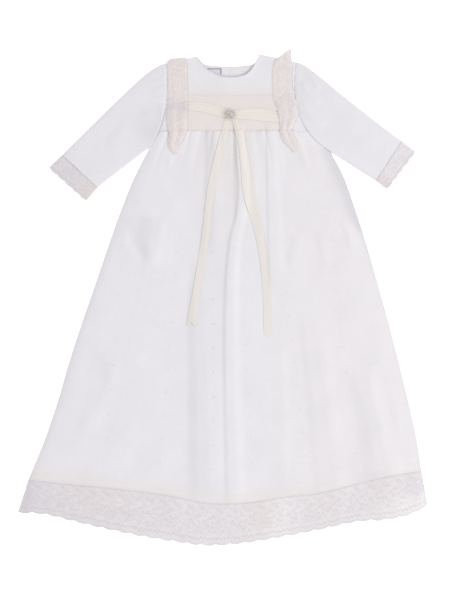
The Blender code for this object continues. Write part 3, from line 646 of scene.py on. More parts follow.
def bodice_grid(side, low_x, high_x, bottom_y, rows, columns):
    """A bodice panel between two X values, from the shoulders and neck down to a straight seam."""
    left = armhole_edge(LEFT_ARMHOLE, None, bottom_y, 1, rows)
    right = armhole_edge(RIGHT_ARMHOLE, None, bottom_y, -1, rows)
    low = left[0][0] if low_x is None else low_x
    high = right[0][0] if high_x is None else high_x
    top = neck_row(side, low, high, left[0], right[0], columns)
    down = np.linspace(0.0, 1.0, rows + 1)
    if low_x is not None:
        left = between(top[0], (low_x, bottom_y), down)
    if high_x is not None:
        right = between(top[-1], (high_x, bottom_y), down)
    left[-1, 1] = right[-1, 1] = bottom_y
    bottom = between(left[-1], right[-1], np.linspace(0.0, 1.0, columns + 1))
    return coons(top, bottom, left, right, down)


def band_grid(rows, columns):
    """The waist band between the yoke's seam and the gathered seam."""
    left = armhole_edge(LEFT_ARMHOLE, YOKE_SEAM_Y, WAIST_Y, 1, rows)
    right = armhole_edge(RIGHT_ARMHOLE, YOKE_SEAM_Y, WAIST_Y, -1, rows)
    for edge in (left, right):
        edge[0, 1], edge[-1, 1] = YOKE_SEAM_Y - SEAM_LINE, WAIST_Y
    shares = np.linspace(0.0, 1.0, columns + 1)
    down = np.linspace(0.0, 1.0, rows + 1)
    return coons(between(left[0], right[0], shares), between(left[-1], right[-1], shares), left, right, down)


def hem_row(column, left_x, right_x, count):
    """Points along the lace's seam or its lower edge, smoothly through the hem's table."""
    x = np.linspace(left_x, right_x, count + 1)
    return np.column_stack([x, smooth_through(x, values_of(HEM, "x"), values_of(HEM, column))])


def skirt_grid(fineness, rows):
    """A skirt panel: armpit to armpit along the waist at the top, the lace seam at its foot. Returns its
    rows' shares of the way down and its columns' places too."""
    side = SIDE_SHARE * fineness
    left_top = armhole_edge(LEFT_ARMHOLE, WAIST_Y, None, 1, side)[::-1]
    right_top = armhole_edge(RIGHT_ARMHOLE, WAIST_Y, None, -1, side)
    left_top[-1, 1] = right_top[0, 1] = WAIST_Y - SEAM_LINE
    units = (SKIRT_UNITS - 2 * SIDE_SHARE) * fineness
    waist = between(left_top[-1], right_top[0], np.linspace(0.0, 1.0, units + 1))
    top = np.vstack([left_top[:-1], waist, right_top[1:]])
    down = np.linspace(0.0, 1.0, rows + 1) ** 1.2
    left, right = side_rows(down)
    bottom = hem_row("seam_y", left[-1, 0], right[-1, 0], len(top) - 1)
    left[0], right[0], left[-1], right[-1] = top[0], top[-1], bottom[0], bottom[-1]
    return coons(top, bottom, left, right, down), down, np.arange(len(top)) / fineness


def hem_lace_grid(steps, rows):
    """A hem lace panel, whose lower edge is a row of scallops |sin|."""
    columns = HEM_SCALLOPS * steps
    left, right = side_rows([1.0])
    top = hem_row("seam_y", left[0, 0], right[0, 0], columns)
    top[:, 1] -= SEAM_LINE
    bottom = hem_row("edge_y", HEM[0].x, HEM[-1].x, columns)
    bottom[:, 1] += HEM_SCALLOP_DEPTH * (0.6 - np.abs(np.sin(pi * np.arange(columns + 1) / steps)))
    down = np.linspace(0.0, 1.0, rows + 1)
    return coons(top, bottom, between(top[0], bottom[0], down), between(top[-1], bottom[-1], down), down)


def strip_grid(rows, steps, columns, notch=0.0, slant=0.0, scallop=0.0):
    """A strip swept along its rows: each crosses the path at a right angle. A notch is cut into its far end,
    its near end runs aslant, and its edges are scalloped by |sin|."""
    at = np.linspace(0, len(rows) - 1, steps + 1)
    knots = np.arange(len(rows))
    x, y, half, lift, ripple = (smooth_through(at, knots, values_of(rows, name)) for name in Row._fields)
    path = np.column_stack([x, y])
    run = lengths(path)
    along = np.gradient(path, axis=0)
    along /= np.linalg.norm(along, axis=1)[:, None]
    across = np.column_stack([-along[:, 1], along[:, 0]])
    shares = np.linspace(-1.0, 1.0, columns + 1)
    ruffle = scallop * np.abs(np.sin(pi * run / EDGE_SCALLOP))[:, None] * shares[None] ** 7
    grid = path[:, None] + across[:, None] * (half[:, None] * shares[None] + ruffle)[:, :, None]
    slanting = slant * smooth_step(1 - run / 14.0)[:, None] * shares[None]
    grid += along[:, None] * slanting[:, :, None]
    far_end = smooth_step(at - (len(rows) - 2))[:, None]
    grid -= along[:, None] * (notch * far_end * (1 - np.abs(shares))[None])[:, :, None]
    return grid, lift, ripple, shares, run


# What lies on what

MAP_LOW = np.array([-330.0, -395.0])
MAP_SHAPE = (661, 791)


def height_map(grids, floor=0.0):
    """The highest point of some grids over each square millimetre, from points put evenly between theirs."""
    heights = np.full(MAP_SHAPE, floor)
    for grid in grids:
        steps = max(
            np.linalg.norm(np.diff(grid[..., :2], axis=0), axis=-1).max(),
            np.linalg.norm(np.diff(grid[..., :2], axis=1), axis=-1).max(),
        )
        fine = grid
        for axis in (0, 1):
            parts = int(np.ceil(steps / 0.7))
            count = (fine.shape[axis] - 1) * parts + 1
            at = np.arange(count) / parts
            low = np.minimum(at.astype(int), fine.shape[axis] - 2)
            share = (at - low).reshape((-1, 1, 1) if axis == 0 else (1, -1, 1))
            fine = np.take(fine, low, axis) * (1 - share) + np.take(fine, low + 1, axis) * share
        cells = np.round(fine[..., :2] - MAP_LOW).astype(int).reshape(-1, 2)
        np.maximum.at(heights, (cells[:, 0], cells[:, 1]), fine[..., 2].reshape(-1))
    return heights


def merged(heights, axis, reach, merge):
    """Each place's highest or mean value over a reach on both sides of it."""
    moved = [np.roll(heights, step, axis) for step in range(-reach, reach + 1)]
    return merge(moved, axis=0)


def draped_over(heights, grid, reach):
    """The height of a strip that bridges hollows: the highest point within reach, then the mean of those
    within reach, which is never below what lies under it."""
    for axis in (0, 1):
        heights = merged(heights, axis, reach, np.max)
    for axis in (0, 1):
        heights = merged(heights, axis, reach, np.mean)
    at = grid[..., :2] - MAP_LOW
    low = at.astype(int)
    share = at - low
    x, y, a, b = low[..., 0], low[..., 1], share[..., 0], share[..., 1]
    row0 = heights[x, y] * (1 - a) + heights[x + 1, y] * a
    row1 = heights[x, y + 1] * (1 - a) + heights[x + 1, y + 1] * a
    return row0 * (1 - b) + row1 * b


def with_height(grid, heights):
    """A flat grid of points with their heights added."""
    return np.concatenate([grid, np.broadcast_to(heights, grid.shape[:2])[..., None]], axis=2)


def front_surfaces():
    """The four front panels' upper faces."""
    yoke = bodice_grid("front_y", None, None, YOKE_SEAM_Y, 64, 170)
    band = band_grid(48, 170)
    skirt, rows, columns = skirt_grid(3, 165)
    gathers = gather_loft(rows, columns)
    lace = hem_lace_grid(20, 46)
    return {
        "front_yoke": with_height(yoke, front_top(yoke[..., 0], yoke[..., 1])),
        "waist_band": with_height(band, front_top(band[..., 0], band[..., 1])),
        "front_skirt": with_height(skirt, front_top(skirt[..., 0], skirt[..., 1], gathers)),
        "front_hem_lace": with_height(lace, front_top(lace[..., 0], lace[..., 1])),
    }


def tail_surfaces(below):
    """The bow's two tails, each on the front with the small crown of a pressed ribbon."""
    wall = bpy.context.scene.gown_trim.ribbon_wall / MM
    tails = {}
    for name, rows, notch in (
        ("ribbon_tail_left", LEFT_TAIL, TAIL_NOTCH),
        ("ribbon_tail_right", RIGHT_TAIL, -TAIL_NOTCH),
    ):
        grid, lift, ripple, shares, run = strip_grid(rows, *TAIL_STEPS, notch)
        flutter = 0.3 * np.sin(2 * pi * run / 61.0 + 0.8) * ripple + 0.1
        crown = 0.5 - 0.5 * np.cos(pi * (shares[None] + 1.0))
        wave = crown + 0.25 * np.sin(3.1 * shares[None] + run[:, None] / 23.0)
        raised = (0.15 * lift + 0.5 * flutter + wall)[:, None] + 0.3 * ripple[:, None] * wave
        tails[name] = (with_height(grid, draped_over(below, grid, 1) + REST_GAP + raised), run)
    return tails


def sash_surface(below):
    """The sash: lengthwise folds that tighten towards the button, with a tucked line near its upper edge."""
    wall = bpy.context.scene.gown_trim.ribbon_wall / MM
    grid, lift, ripple, shares, run = strip_grid(SASH, *SASH_STEPS)
    wave = 0.5 - 0.5 * np.cos(2 * pi * (shares + 1.0))
    grip = bell(run - run.max() * 0.49, 17.0)[:, None]
    pleats = grip * 0.3 * np.sin(9.0 * shares)[None]
    tuck = -0.6 * bell(shares[None] - 0.42 - 0.12 * np.sin(run[:, None] / 19.0), 0.1) * (1 - grip)
    raised = wall + 0.25 + 0.4 * (lift[:, None] + ripple[:, None] * wave[None]) + pleats + tuck
    return with_height(grid, draped_over(below, grid, 2) + REST_GAP + raised), run


def brace_surface(rows, below, folds, slant):
    """A brace: soft waves across it, flutes |s|^2 sin along both edges where its end hangs free, and folded
    edges that cross its tail, each a step of height along a slanted line. It lies flat towards its edges."""
    wall = bpy.context.scene.gown_lace.brace_wall / MM
    grid, lift, ripple, shares, run = strip_grid(rows, *BRACE_STEPS, slant=slant, scallop=0.9)
    wave = 0.5 - 0.5 * np.cos(2 * pi * (shares[None] + 1.0))
    flutes = np.sin(2 * pi * run[:, None] / 14.0 + 1.2 * shares[None]) * np.abs(shares[None]) ** 2
    raised = 0.3 * lift[:, None] + ripple[:, None] * (0.3 * wave + 0.16 * flutes + 0.16)
    raised = raised * (1.0 - 0.95 * np.abs(shares[None]) ** 3)
    for fold in folds:
        off = run[:, None] - fold.at - fold.slant * shares[None]
        step = smooth_step(off / 2.0) * smooth_step((16.0 - off) / 14.0)
        raised = raised + fold.height * step * (1 - 0.6 * shares[None] ** 4)
    return with_height(grid, draped_over(below, grid, 1) + REST_GAP + wall + raised), run


def layered():
    """Each strip's surface by name, worked out on those below it, with how far along it its rows are. The
    height of the front panels comes second."""
    panels = front_surfaces()
    ground = height_map([panels[name] for name in ("front_yoke", "waist_band", "front_skirt")], 2 * WALL)
    found = tail_surfaces(ground)
    tailed = np.maximum(ground, height_map([found["ribbon_tail_left"][0], found["ribbon_tail_right"][0]]))
    found["ribbon_sash"] = sash_surface(tailed)
    tied = np.maximum(tailed, height_map([found["ribbon_sash"][0]]))
    found["brace_left"] = brace_surface(LEFT_BRACE, tied, LEFT_BRACE_FOLDS, 0.0)
    found["brace_right"] = brace_surface(RIGHT_BRACE, tied, RIGHT_BRACE_FOLDS, -9.0)
    return found, ground


# Meshes


def shell(grid, wall=None):
    """A closed sheet: the grid's surface, an underside that is a wall lower, and a rim between their edges.
    Without a wall its underside lies flat on the floor."""
    rows, columns = grid.shape[:2]
    index = np.arange(rows * columns).reshape(rows, columns)
    top = np.stack([index[:-1, :-1], index[1:, :-1], index[1:, 1:], index[:-1, 1:]], axis=-1).reshape(-1, 4)
    loop = np.concatenate([index[:-1, 0], index[-1, :-1], index[:0:-1, -1], index[0, :0:-1]])
    after, low = np.roll(loop, -1), rows * columns
    rim = np.column_stack([loop + low, after + low, after, loop])
    flat = grid.reshape(-1, 3)
    under = flat * np.array([1.0, 1.0, 0.0]) if wall is None else flat - np.array([0.0, 0.0, wall])
    return np.vstack([flat, under]), np.vstack([top, top[:, ::-1] + low, rim])


def facing_out(points, faces):
    """The same faces, turned round if together they enclose a volume below 0."""
    p = np.asarray(points)[np.asarray(faces)[:, :4]]
    volume = sum((p[:, 0] * np.cross(p[:, i], p[:, i + 1])).sum() for i in (1, 2))
    return faces[:, ::-1] if volume < 0 else faces


def tube(outer, inner):
    """A closed wall between outer and inner rings of points, section by section."""
    sections, count = outer.shape[:2]
    index = np.arange(sections * count).reshape(sections, count)
    after = np.roll(index, -1, axis=1)
    side = np.stack([index[:-1], index[1:], after[1:], after[:-1]], axis=-1).reshape(-1, 4)
    low = sections * count
    start = np.column_stack([index[0], after[0], after[0] + low, index[0] + low])
    end = np.column_stack([after[-1], index[-1], index[-1] + low, after[-1] + low])
    points = np.vstack([outer.reshape(-1, 3), inner.reshape(-1, 3)])
    return points, facing_out(points, np.vstack([side, side[:, ::-1] + low, start, end]))


def half_ring(centre, tip, radius, height, angles):
    """Part of a circle round each centre, upright through its tip: (radius cos, height + radius sin)."""
    outward = (tip - centre) / np.linalg.norm(tip - centre, axis=1)[:, None]
    flat = centre[:, None] + outward[:, None] * (radius * np.cos(angles))[None, :, None]
    return with_height(flat, height + radius * np.sin(angles))


def tube_rings(lines, edge_radius, height, wall, lift):
    """A flattened tube's outer and inner rings: over each line of points a crown h = 2r + (H - 2r) sin^0.6, a
    half circle of radius r at each side, and a flat back on the floor. The lift raises the upper points."""
    rings = []
    ends = []
    shares = np.linspace(0.0, 1.0, lines.shape[1])
    for tip, near in ((lines[:, 0], lines[:, 1]), (lines[:, -1], lines[:, -2])):
        reach = np.linalg.norm(near - tip, axis=1)
        ends.append(tip + (near - tip) * (edge_radius / reach)[:, None])
    inner = ruled(*ends, shares) + (lines - ruled(lines[:, 0], lines[:, -1], shares))
    rise = 2 * edge_radius + (height - 2 * edge_radius) * np.sin(pi * shares) ** 0.6
    angles = np.radians(np.linspace(90, -90, TUBE_CORNERS + 2)[1:-1])
    for inset in (0.0, wall):
        top = with_height(inner, rise[None] + lift - inset)
        bottom = with_height(inner, inset)[:, ::-1]
        right = half_ring(ends[1], lines[:, -1], edge_radius - inset, edge_radius, angles)
        left = half_ring(ends[0], lines[:, 0], edge_radius - inset, edge_radius, angles[::-1])
        rings.append(np.concatenate([top, right, bottom, left], axis=1))
    return rings


def turned(profile, steps):
    """A profile of radius and height turned round Z, its two ends closed by fans of triangles."""
    profile = np.asarray(profile, float)
    angles = 2 * pi * np.arange(steps) / steps
    radius = profile[1:-1, :1]
    level = np.repeat(profile[1:-1, 1:], steps, axis=1)
    rings = np.stack([radius * np.cos(angles), radius * np.sin(angles), level], axis=-1)
    index = np.arange(rings.shape[0] * steps).reshape(-1, steps)
    after = np.roll(index, -1, axis=1)
    quads = np.stack([index[:-1], index[1:], after[1:], after[:-1]], axis=-1).reshape(-1, 4)
    caps = np.vstack([
        np.column_stack([np.full(steps, index.size), index[0], after[0]]),
        np.column_stack([np.full(steps, index.size + 1), after[-1], index[-1]]),
    ])
    ends = np.array([[0.0, 0.0, profile[0, 1]], [0.0, 0.0, profile[-1, 1]]])
    return np.vstack([rings.reshape(-1, 3), ends]), quads.tolist() + caps.tolist()


def ring_shape(radius, tube_radius, around, sides):
    """A torus: a circle of tube_radius carried round a circle of radius."""
    a = 2 * pi * np.arange(around)[:, None] / around
    b = 2 * pi * np.arange(sides)[None] / sides
    r = radius + tube_radius * np.cos(b)
    level = np.broadcast_to(tube_radius * np.sin(b), (around, sides))
    points = np.stack([r * np.cos(a), r * np.sin(a), level], axis=-1).reshape(-1, 3)
    index = np.arange(around * sides).reshape(around, sides)
    over, on = np.roll(index, -1, axis=1), np.roll(index, -1, axis=0)
    faces = np.stack([index, on, np.roll(over, -1, axis=0), over], axis=-1).reshape(-1, 4)
    return points, facing_out(points, faces).tolist()


def dome_profile(high):
    """A low dome's radius and height, which goes a little below its foot."""
    return [(0, high), (0.6, high * 0.8), (1.0, 0.0), (0, -0.1)]


def dome_shape(long, wide, profile, steps):
    """A low dome over an ellipse, closed underneath."""
    points, faces = turned(profile, steps)
    return points * np.array([long, wide, 1.0]), faces


def cord(path, wide, high, sides):
    """An ellipse carried along a path: cos times wide across it, and sin times high over it. Its ends are
    closed."""
    along = np.gradient(path, axis=0)
    along /= np.linalg.norm(along, axis=1)[:, None]
    across = np.column_stack([-along[:, 1], along[:, 0], np.zeros(len(path))])
    across /= np.linalg.norm(across, axis=1)[:, None]
    angles = 2 * pi * np.arange(sides) / sides
    rings = path[:, None] + across[:, None] * (wide * np.cos(angles))[None, :, None]
    rings = rings + np.cross(along, across)[:, None] * (high * np.sin(angles))[None, :, None]
    index = np.arange(len(path) * sides).reshape(-1, sides)
    over = np.roll(index, -1, axis=1)
    quads = np.stack([index[:-1], over[:-1], over[1:], index[1:]], axis=-1).reshape(-1, 4)
    return rings.reshape(-1, 3), quads.tolist() + [index[0, ::-1].tolist(), index[-1].tolist()]


def copies(shape, places, turns=0.0, sizes=1.0):
    """One shape put at many places, each turned round Z and sized."""
    points, faces = shape
    places = np.asarray(places, float)
    turns = np.broadcast_to(turns, len(places))[:, None]
    sized = points[None] * np.broadcast_to(sizes, len(places))[:, None, None]
    x = sized[..., 0] * np.cos(turns) - sized[..., 1] * np.sin(turns)
    y = sized[..., 0] * np.sin(turns) + sized[..., 1] * np.cos(turns)
    moved = np.stack([x, y, sized[..., 2]], axis=-1) + places[:, None]
    shift = len(points)
    return moved.reshape(-1, 3), [[v + shift * k for v in face] for k in range(len(places)) for face in faces]


def joined(parts):
    """Several shapes' points and faces as one."""
    points, faces, start = [], [], 0
    for some, their in parts:
        points.append(some)
        faces += [[v + start for v in face] for face in their]
        start += len(some)
    return np.vstack(points), faces


def grid_uv(grid):
    """Each point's way across and along its grid, in millimetres on the surface."""
    half_down, half_over = grid.shape[0] // 2, grid.shape[1] // 2
    across = np.linalg.norm(np.diff(grid, axis=1), axis=2)
    across = np.concatenate([np.zeros((grid.shape[0], 1)), np.cumsum(across, axis=1)], axis=1)
    across = across - across[:, [half_over]] + across[half_down, half_over]
    along = np.linalg.norm(np.diff(grid, axis=0), axis=2)
    along = np.concatenate([np.zeros((1, grid.shape[1])), np.cumsum(along, axis=0)], axis=0)
    return np.stack([across, along], axis=-1).reshape(-1, 2)


def make_piece(name, shape, material, uv=None, marks=None, smooth=SMOOTH_ANGLE):
    """A mesh from points in millimetres, with a UV map in metres and marks: named values at its points.

    A sheet's UV places and marks are those of its upper face, and its lower face has them too.
    """
    points, faces = shape
    mesh = bpy.data.meshes.new(name)
    mesh.from_pydata(points * MM, [], faces if isinstance(faces, list) else faces.tolist())
    if uv is not None:
        corners = np.empty(len(mesh.loops), np.int32)
        mesh.loops.foreach_get("vertex_index", corners)
        places = np.tile(uv * MM, (len(points) // len(uv), 1))
        mesh.uv_layers.new(name="cloth").data.foreach_set("uv", places[corners].astype(np.float32).ravel())
    for title, values in (marks or {}).items():
        values = np.asarray(values, np.float32).ravel()
        attribute = mesh.attributes.new(title, "FLOAT", "POINT")
        attribute.data.foreach_set("value", np.tile(values, len(points) // len(values)))
    mesh.update()
    mesh.shade_smooth()
    mesh.set_sharp_from_angle(angle=smooth)
    made = bpy.data.objects.new(name, mesh)
    bpy.context.scene.collection.objects.link(made)
    mesh.materials.append(material)
    return made


# Each sheet's cut: its width and length in metres, and its area in square metres
Cut = namedtuple("Cut", "width length area")


def lay_sheet(node, kind, shape, material, uv=None, marks=None):
    """Makes a sheet of cloth that stands for its solid, and hides the solid."""
    piece = make_piece(f"{node}_{kind}", shape, material, uv, marks)
    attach(piece, "root")
    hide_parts(node)


def add_trim(name, shape, material, smooth=SMOOTH_ANGLE):
    """Makes a small piece that is sewn on."""
    piece = make_piece(name, shape, material, smooth=smooth)
    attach(piece, "root")
    return piece


# Nodes


def add_node(tree, kind, values=(), links=(), **settings):
    """Adds a node, sets its own settings and its sockets' values, and links other outputs to its sockets."""
    made = tree.nodes.new(kind)
    for name, value in settings.items():
        setattr(made, name, value)
    for socket, value in dict(values).items():
        made.inputs[socket].default_value = value
    for socket, source in dict(links).items():
        tree.links.new(source, made.inputs[socket])
    return made


def new_material(name, values):
    material = bpy.data.materials.new(name)
    material.use_nodes = True
    shader = material.node_tree.nodes["Principled BSDF"]
    for socket, value in values.items():
        shader.inputs[socket].default_value = value
    return material, material.node_tree, shader


def tint(colour, share=1.0):
    """A colour for a socket, made darker or lighter by a share."""
    return (*(c * share for c in colour[:3]), 1.0)


def object_place(tree):
    """Each point's place in the gown, in metres."""
    return add_node(tree, "ShaderNodeTexCoord").outputs["Object"]


def cloth_place(tree):
    """Each point's place on the cloth itself, in metres."""
    return add_node(tree, "ShaderNodeUVMap", uv_map="cloth").outputs[0]


def mark(tree, name):
    """The value that a piece's points have under this name."""
    return add_node(tree, "ShaderNodeAttribute", attribute_name=name).outputs["Fac"]


def noise(tree, place, scale, detail, stretch=None):
    """Cloudy noise, which a stretch scales along each axis by itself."""
    if stretch:
        place = add_node(tree, "ShaderNodeMapping", {"Scale": stretch}, {"Vector": place}).outputs[0]
    values = {"Scale": scale, "Detail": detail}
    return add_node(tree, "ShaderNodeTexNoise", values, {"Vector": place}).outputs["Fac"]


def ribs(tree, place, scale, distortion, detail):
    """Soft bands across the cloth's length."""
    values = {"Scale": scale, "Distortion": distortion, "Detail": detail}
    return add_node(tree, "ShaderNodeTexWave", values, {"Vector": place}, bands_direction="Y").outputs["Fac"]


def ranged(tree, value, start, end):
    """A value that goes from one range, a pair, evenly to another and stays inside it."""
    limits = {"From Min": start[0], "From Max": start[1], "To Min": end[0], "To Max": end[1]}
    return add_node(tree, "ShaderNodeMapRange", limits, {"Value": value}).outputs[0]


def combined(tree, operation, first, second):
    """The sum or product of two outputs."""
    return add_node(tree, "ShaderNodeMath", links={0: first, 1: second}, operation=operation).outputs[0]


def mixed(tree, first, second, factor):
    """A colour between two others, each a colour or an output, by a factor's output."""
    node = add_node(tree, "ShaderNodeMix", links={0: factor}, data_type="RGBA")
    for socket, value in ((6, first), (7, second)):
        if hasattr(value, "is_linked"):
            tree.links.new(value, node.inputs[socket])
        else:
            node.inputs[socket].default_value = value
    return node.outputs[2]


def paint(tree, shader, colour, tone=None):
    """Gives the shader a colour's output, with a tone that makes it a little lighter and darker."""
    if tone:
        links = {0: colour, "Scale": tone}
        colour = add_node(tree, "ShaderNodeVectorMath", links=links, operation="SCALE").outputs[0]
    tree.links.new(colour, shader.inputs["Base Color"])


def emboss(tree, shader, height, strength, distance):
    """Gives the shader's surface the small relief of a height's output."""
    bump = add_node(tree, "ShaderNodeBump", {"Strength": strength, "Distance": distance}, {"Height": height})
    tree.links.new(bump.outputs[0], shader.inputs["Normal"])


# Materials

MIDDLE = (0.3, 0.7)
UNIT = (0.0, 1.0)


def batiste(name, cloth, warm):
    """Cotton batiste, a fine plain weave of spun thread: matt, with faint slubs both ways and a short nap.

    Its threads are 0.3 mm apart, so the weave is drawn as slubs 0.9 mm wide and up to 14 mm long. The first
    mark makes it warm in colour: the band's and seams' own tone, painted shade inside the neck and round the
    bow, and a painted warm light towards the skirt's right. The second mark colours it darker as painted
    shade
    where shade falls: in the skirt's folds, tucks and sides, and on the sleeves.
    """
    material, tree, shader = new_material(name, {
        "Roughness": 0.92, "Sheen Weight": 0.15, "Sheen Roughness": 0.6, "IOR": 1.46,
        "Specular IOR Level": 0.25,
    })
    place = object_place(tree)
    slubs = [noise(tree, place, 1.0, 2.0, way) for way in ((70.0, 1100.0, 70.0), (1100.0, 70.0, 70.0))]
    weave = combined(tree, "ADD", *slubs)
    grain = ranged(tree, weave, (0.6, 1.4), (0.972, 1.02))
    clouds = ranged(tree, noise(tree, place, 26.0, 3.0), MIDDLE, (0.985, 1.012))
    tinted = mixed(tree, tint(cloth.cotton), tint(warm), mark(tree, "warmth"))
    ground = mixed(tree, tinted, tint(cloth.shaded_cotton), mark(tree, "layers"))
    paint(tree, shader, ground, combined(tree, "MULTIPLY", grain, clouds))
    emboss(tree, shader, weave, 0.35, 0.0003)
    return material


def cotton_lace(name, lace, colour, net_mm):
    """Cotton lace, a fine net that thicker thread is darned through: matt, grainy, and darker where it is
    open, as painted shade in its holes.

    Its net's meshes are 1.1 mm wide, drawn as net_mm so that they show, each coloured darker in its middle as
    painted shade. The mark motif is 1 in the openwork that outlines the pattern, which is coloured darker as
    the shade seen through it. The warm mark is 1 where it is warmer in colour, and the pale mark lightens it:
    painted light, which is weakest at the lace's left end.
    """
    material, tree, shader = new_material(name, {
        "Roughness": 0.95, "Sheen Weight": 0.1, "Sheen Roughness": 0.6, "IOR": 1.46,
        "Specular IOR Level": 0.2,
    })
    place = cloth_place(tree)
    net = add_node(tree, "ShaderNodeTexVoronoi", {"Scale": 1.0 / (net_mm * MM), "Randomness": 0.8},
                   {"Vector": place}, feature="DISTANCE_TO_EDGE")
    thread = ranged(tree, net.outputs["Distance"], (0.08, 0.38), UNIT)
    lit_tone = mixed(tree, tint(colour), tint(lace.pale), mark(tree, "pale"))
    tinted = mixed(tree, lit_tone, tint(lace.warm), mark(tree, "warmth"))
    # The openwork is coloured darker, as the shade seen through it
    outlined = mixed(tree, tinted, tint(lace.open_net_and_shade), mark(tree, "motif"))
    # Each mesh is coloured darker towards its middle: painted shade in the net's holes
    depth = ranged(tree, thread, UNIT, (1.03, 0.92))
    clouds = ranged(tree, noise(tree, place, 70.0, 3.0), MIDDLE, (0.965, 1.025))
    paint(tree, shader, outlined, combined(tree, "MULTIPLY", clouds, depth))
    height = add_node(tree, "ShaderNodeMath", {1: -1.0}, {0: thread}, operation="MULTIPLY").outputs[0]
    emboss(tree, shader, height, 0.35, 0.0003)
    return material


def organza(name, trim):
    """Organza ribbon, a thin plain weave of fine bright filament: a soft sheen, fine ribs and firm edges.

    Its weft threads are 0.15 mm apart, so they are drawn as ribs 0.8 mm apart. The mark side is 1 at its
    edges, and skirt is 1 where the cooler skirt shows through it.
    """
    material, tree, shader = new_material(name, {
        "Roughness": 0.7, "Sheen Weight": 0.2, "Sheen Roughness": 0.4, "IOR": 1.5, "Specular IOR Level": 0.25,
    })
    place = cloth_place(tree)
    sheer = mixed(tree, tint(trim.ribbon), tint(trim.ribbon_skirt), mark(tree, "skirt"))
    edged = mixed(tree, sheer, tint(trim.ribbon_edge), mark(tree, "side"))
    streaks = noise(tree, place, 1.0, 2.0, (900.0, 16.0, 1.0))
    paint(tree, shader, edged, ranged(tree, streaks, MIDDLE, (0.975, 1.02)))
    emboss(tree, shader, ribs(tree, place, 200.0, 0.6, 1.0), 0.3, 0.0002)
    return material


def pewter(name, colour):
    """Cast pewter-coloured metal, tumbled: a dull grey gleam with a faint uneven grain 0.6 mm across."""
    material, tree, shader = new_material(name, {"Metallic": 0.35})
    grain = noise(tree, object_place(tree), 1600.0, 2.0)
    paint(tree, shader, mixed(tree, tint(colour, 0.8), tint(colour), grain))
    tree.links.new(ranged(tree, grain, UNIT, (0.32, 0.52)), shader.inputs["Roughness"])
    return material


def cut_stone(name, colour):
    """Moulded glass stone, faceted and foil-backed: grey and glossy, with small cells coloured lighter and
    darker as painted reflections of its facets.
    """
    material, tree, shader = new_material(name, {
        "Roughness": 0.12, "IOR": 1.55, "Coat Weight": 0.5, "Coat Roughness": 0.05, "Specular IOR Level": 0.6,
    })
    cells = add_node(tree, "ShaderNodeTexVoronoi", {"Scale": 650.0}, {"Vector": object_place(tree)})
    # Painted reflections: each cell is coloured lighter or darker by a random amount, as a facet catching the
    # light
    level = add_node(tree, "ShaderNodeSeparateColor", links={0: cells.outputs["Color"]}).outputs[0]
    paint(tree, shader, mixed(tree, tint(colour, 0.6), tint(colour, 1.15), level))
    return material


def sewing_thread(name, colour):
    """Mercerised cotton thread, twisted: matt to slightly bright, in short dashes where it dips."""
    material, tree, shader = new_material(name, {"Roughness": 0.7, "Sheen Weight": 0.2, "IOR": 1.5})
    twist = noise(tree, object_place(tree), 900.0, 1.0)
    paint(tree, shader, mixed(tree, tint(colour, 0.93), tint(colour), twist))
    return material


def woven_label(name, colour, border):
    """Woven satin label: smooth polyester filament, ribbed 0.5 mm apart, with a darker border along its top
    and right that is painted shade.
    """
    material, tree, shader = new_material(name, {"Roughness": 0.5, "Sheen Weight": 0.2, "IOR": 1.5})
    satin = mixed(tree, tint(colour, 0.95), tint(colour), ribs(tree, object_place(tree), 320.0, 0.3, 2.0))
    paint(tree, shader, mixed(tree, satin, tint(border), mark(tree, "border")))
    return material


def opal_acrylic(name, colour):
    """Opal acrylic of a light table: matt white, lit from below so that shadows on it wash out."""
    material, tree, shader = new_material(name, {
        "Roughness": 0.8, "IOR": 1.49, "Specular IOR Level": 0.1,
        "Emission Color": (1.0, 1.0, 1.0, 1.0), "Emission Strength": 0.45,
    })
    grain = noise(tree, object_place(tree), 300.0, 2.0)
    paint(tree, shader, mixed(tree, tint(colour, 0.995), tint(colour), grain))
    return material


# Lace pattern

# Wavy threads along a lace border: their place in its depth, their sway, their phase and how open they are
Thread = namedtuple("Thread", "share sway phase open")
THREADS = [
    Thread(0.12, 0.035, 0.0, 0.35),
    Thread(0.27, 0.06, 1.9, 0.35),
    Thread(0.45, 0.05, 3.6, 0.3),
    Thread(0.62, 0.05, 5.2, 0.35),
    Thread(0.72, 0.03, 1.0, 0.4),
]
# Leaves in each repeat, or in each half of it: their place along it and in the depth, their turn, their
# length and width as shares of it, and how open their outline is
Leaf = namedtuple("Leaf", "repeat shift share turn long wide open")
LEAVES = [
    Leaf(1.0, 0.05, 0.18, 0.5, 0.24, 0.075, 0.38),
    Leaf(1.0, 0.55, 0.34, -0.5, 0.24, 0.075, 0.38),
    Leaf(1.0, 0.50, 0.56, 0.35, 0.22, 0.07, 0.38),
    Leaf(0.5, 0.3, 0.46, 0.9, 0.2, 0.08, 0.32),
    Leaf(0.5, 0.8, 0.66, -0.7, 0.2, 0.08, 0.32),
]
SEAM_HOLES = 1.5
FOOT_LINE = 2.2


def stroke(offset, half):
    """1 on a line, falling to 0 just past its half width."""
    return np.clip(1.5 - np.abs(offset) / half, 0.0, 1.0)


def repeated(along, pitch, shift):
    """How far along a place is from the nearest repeat of a motif that is shifted by a share of the pitch."""
    return ((along / pitch - shift + 0.5) % 1.0 - 0.5) * pitch


def leaf(along, down, turn, long, wide):
    """A leaf's outline, the ellipse (a/long)^2 + (b/wide)^2 = 1, turned, with a vein along its middle."""
    a = along * np.cos(turn) + down * np.sin(turn)
    b = down * np.cos(turn) - along * np.sin(turn)
    ring = np.sqrt((a / long) ** 2 + (b / wide) ** 2)
    return np.maximum(stroke((ring - 1.0) * wide, 0.6), 0.5 * stroke(b, 0.4) * (np.abs(a) < long))


def flower(along, down, radius):
    """A flower's five-lobed outline r = R(0.78 + 0.22 cos 5a) round a small dot."""
    r, angle = np.hypot(along, down), np.arctan2(down, along)
    return np.maximum(stroke(r - radius * (0.78 + 0.22 * np.cos(5 * angle)), 0.6), 0.8 * stroke(r, 0.8))


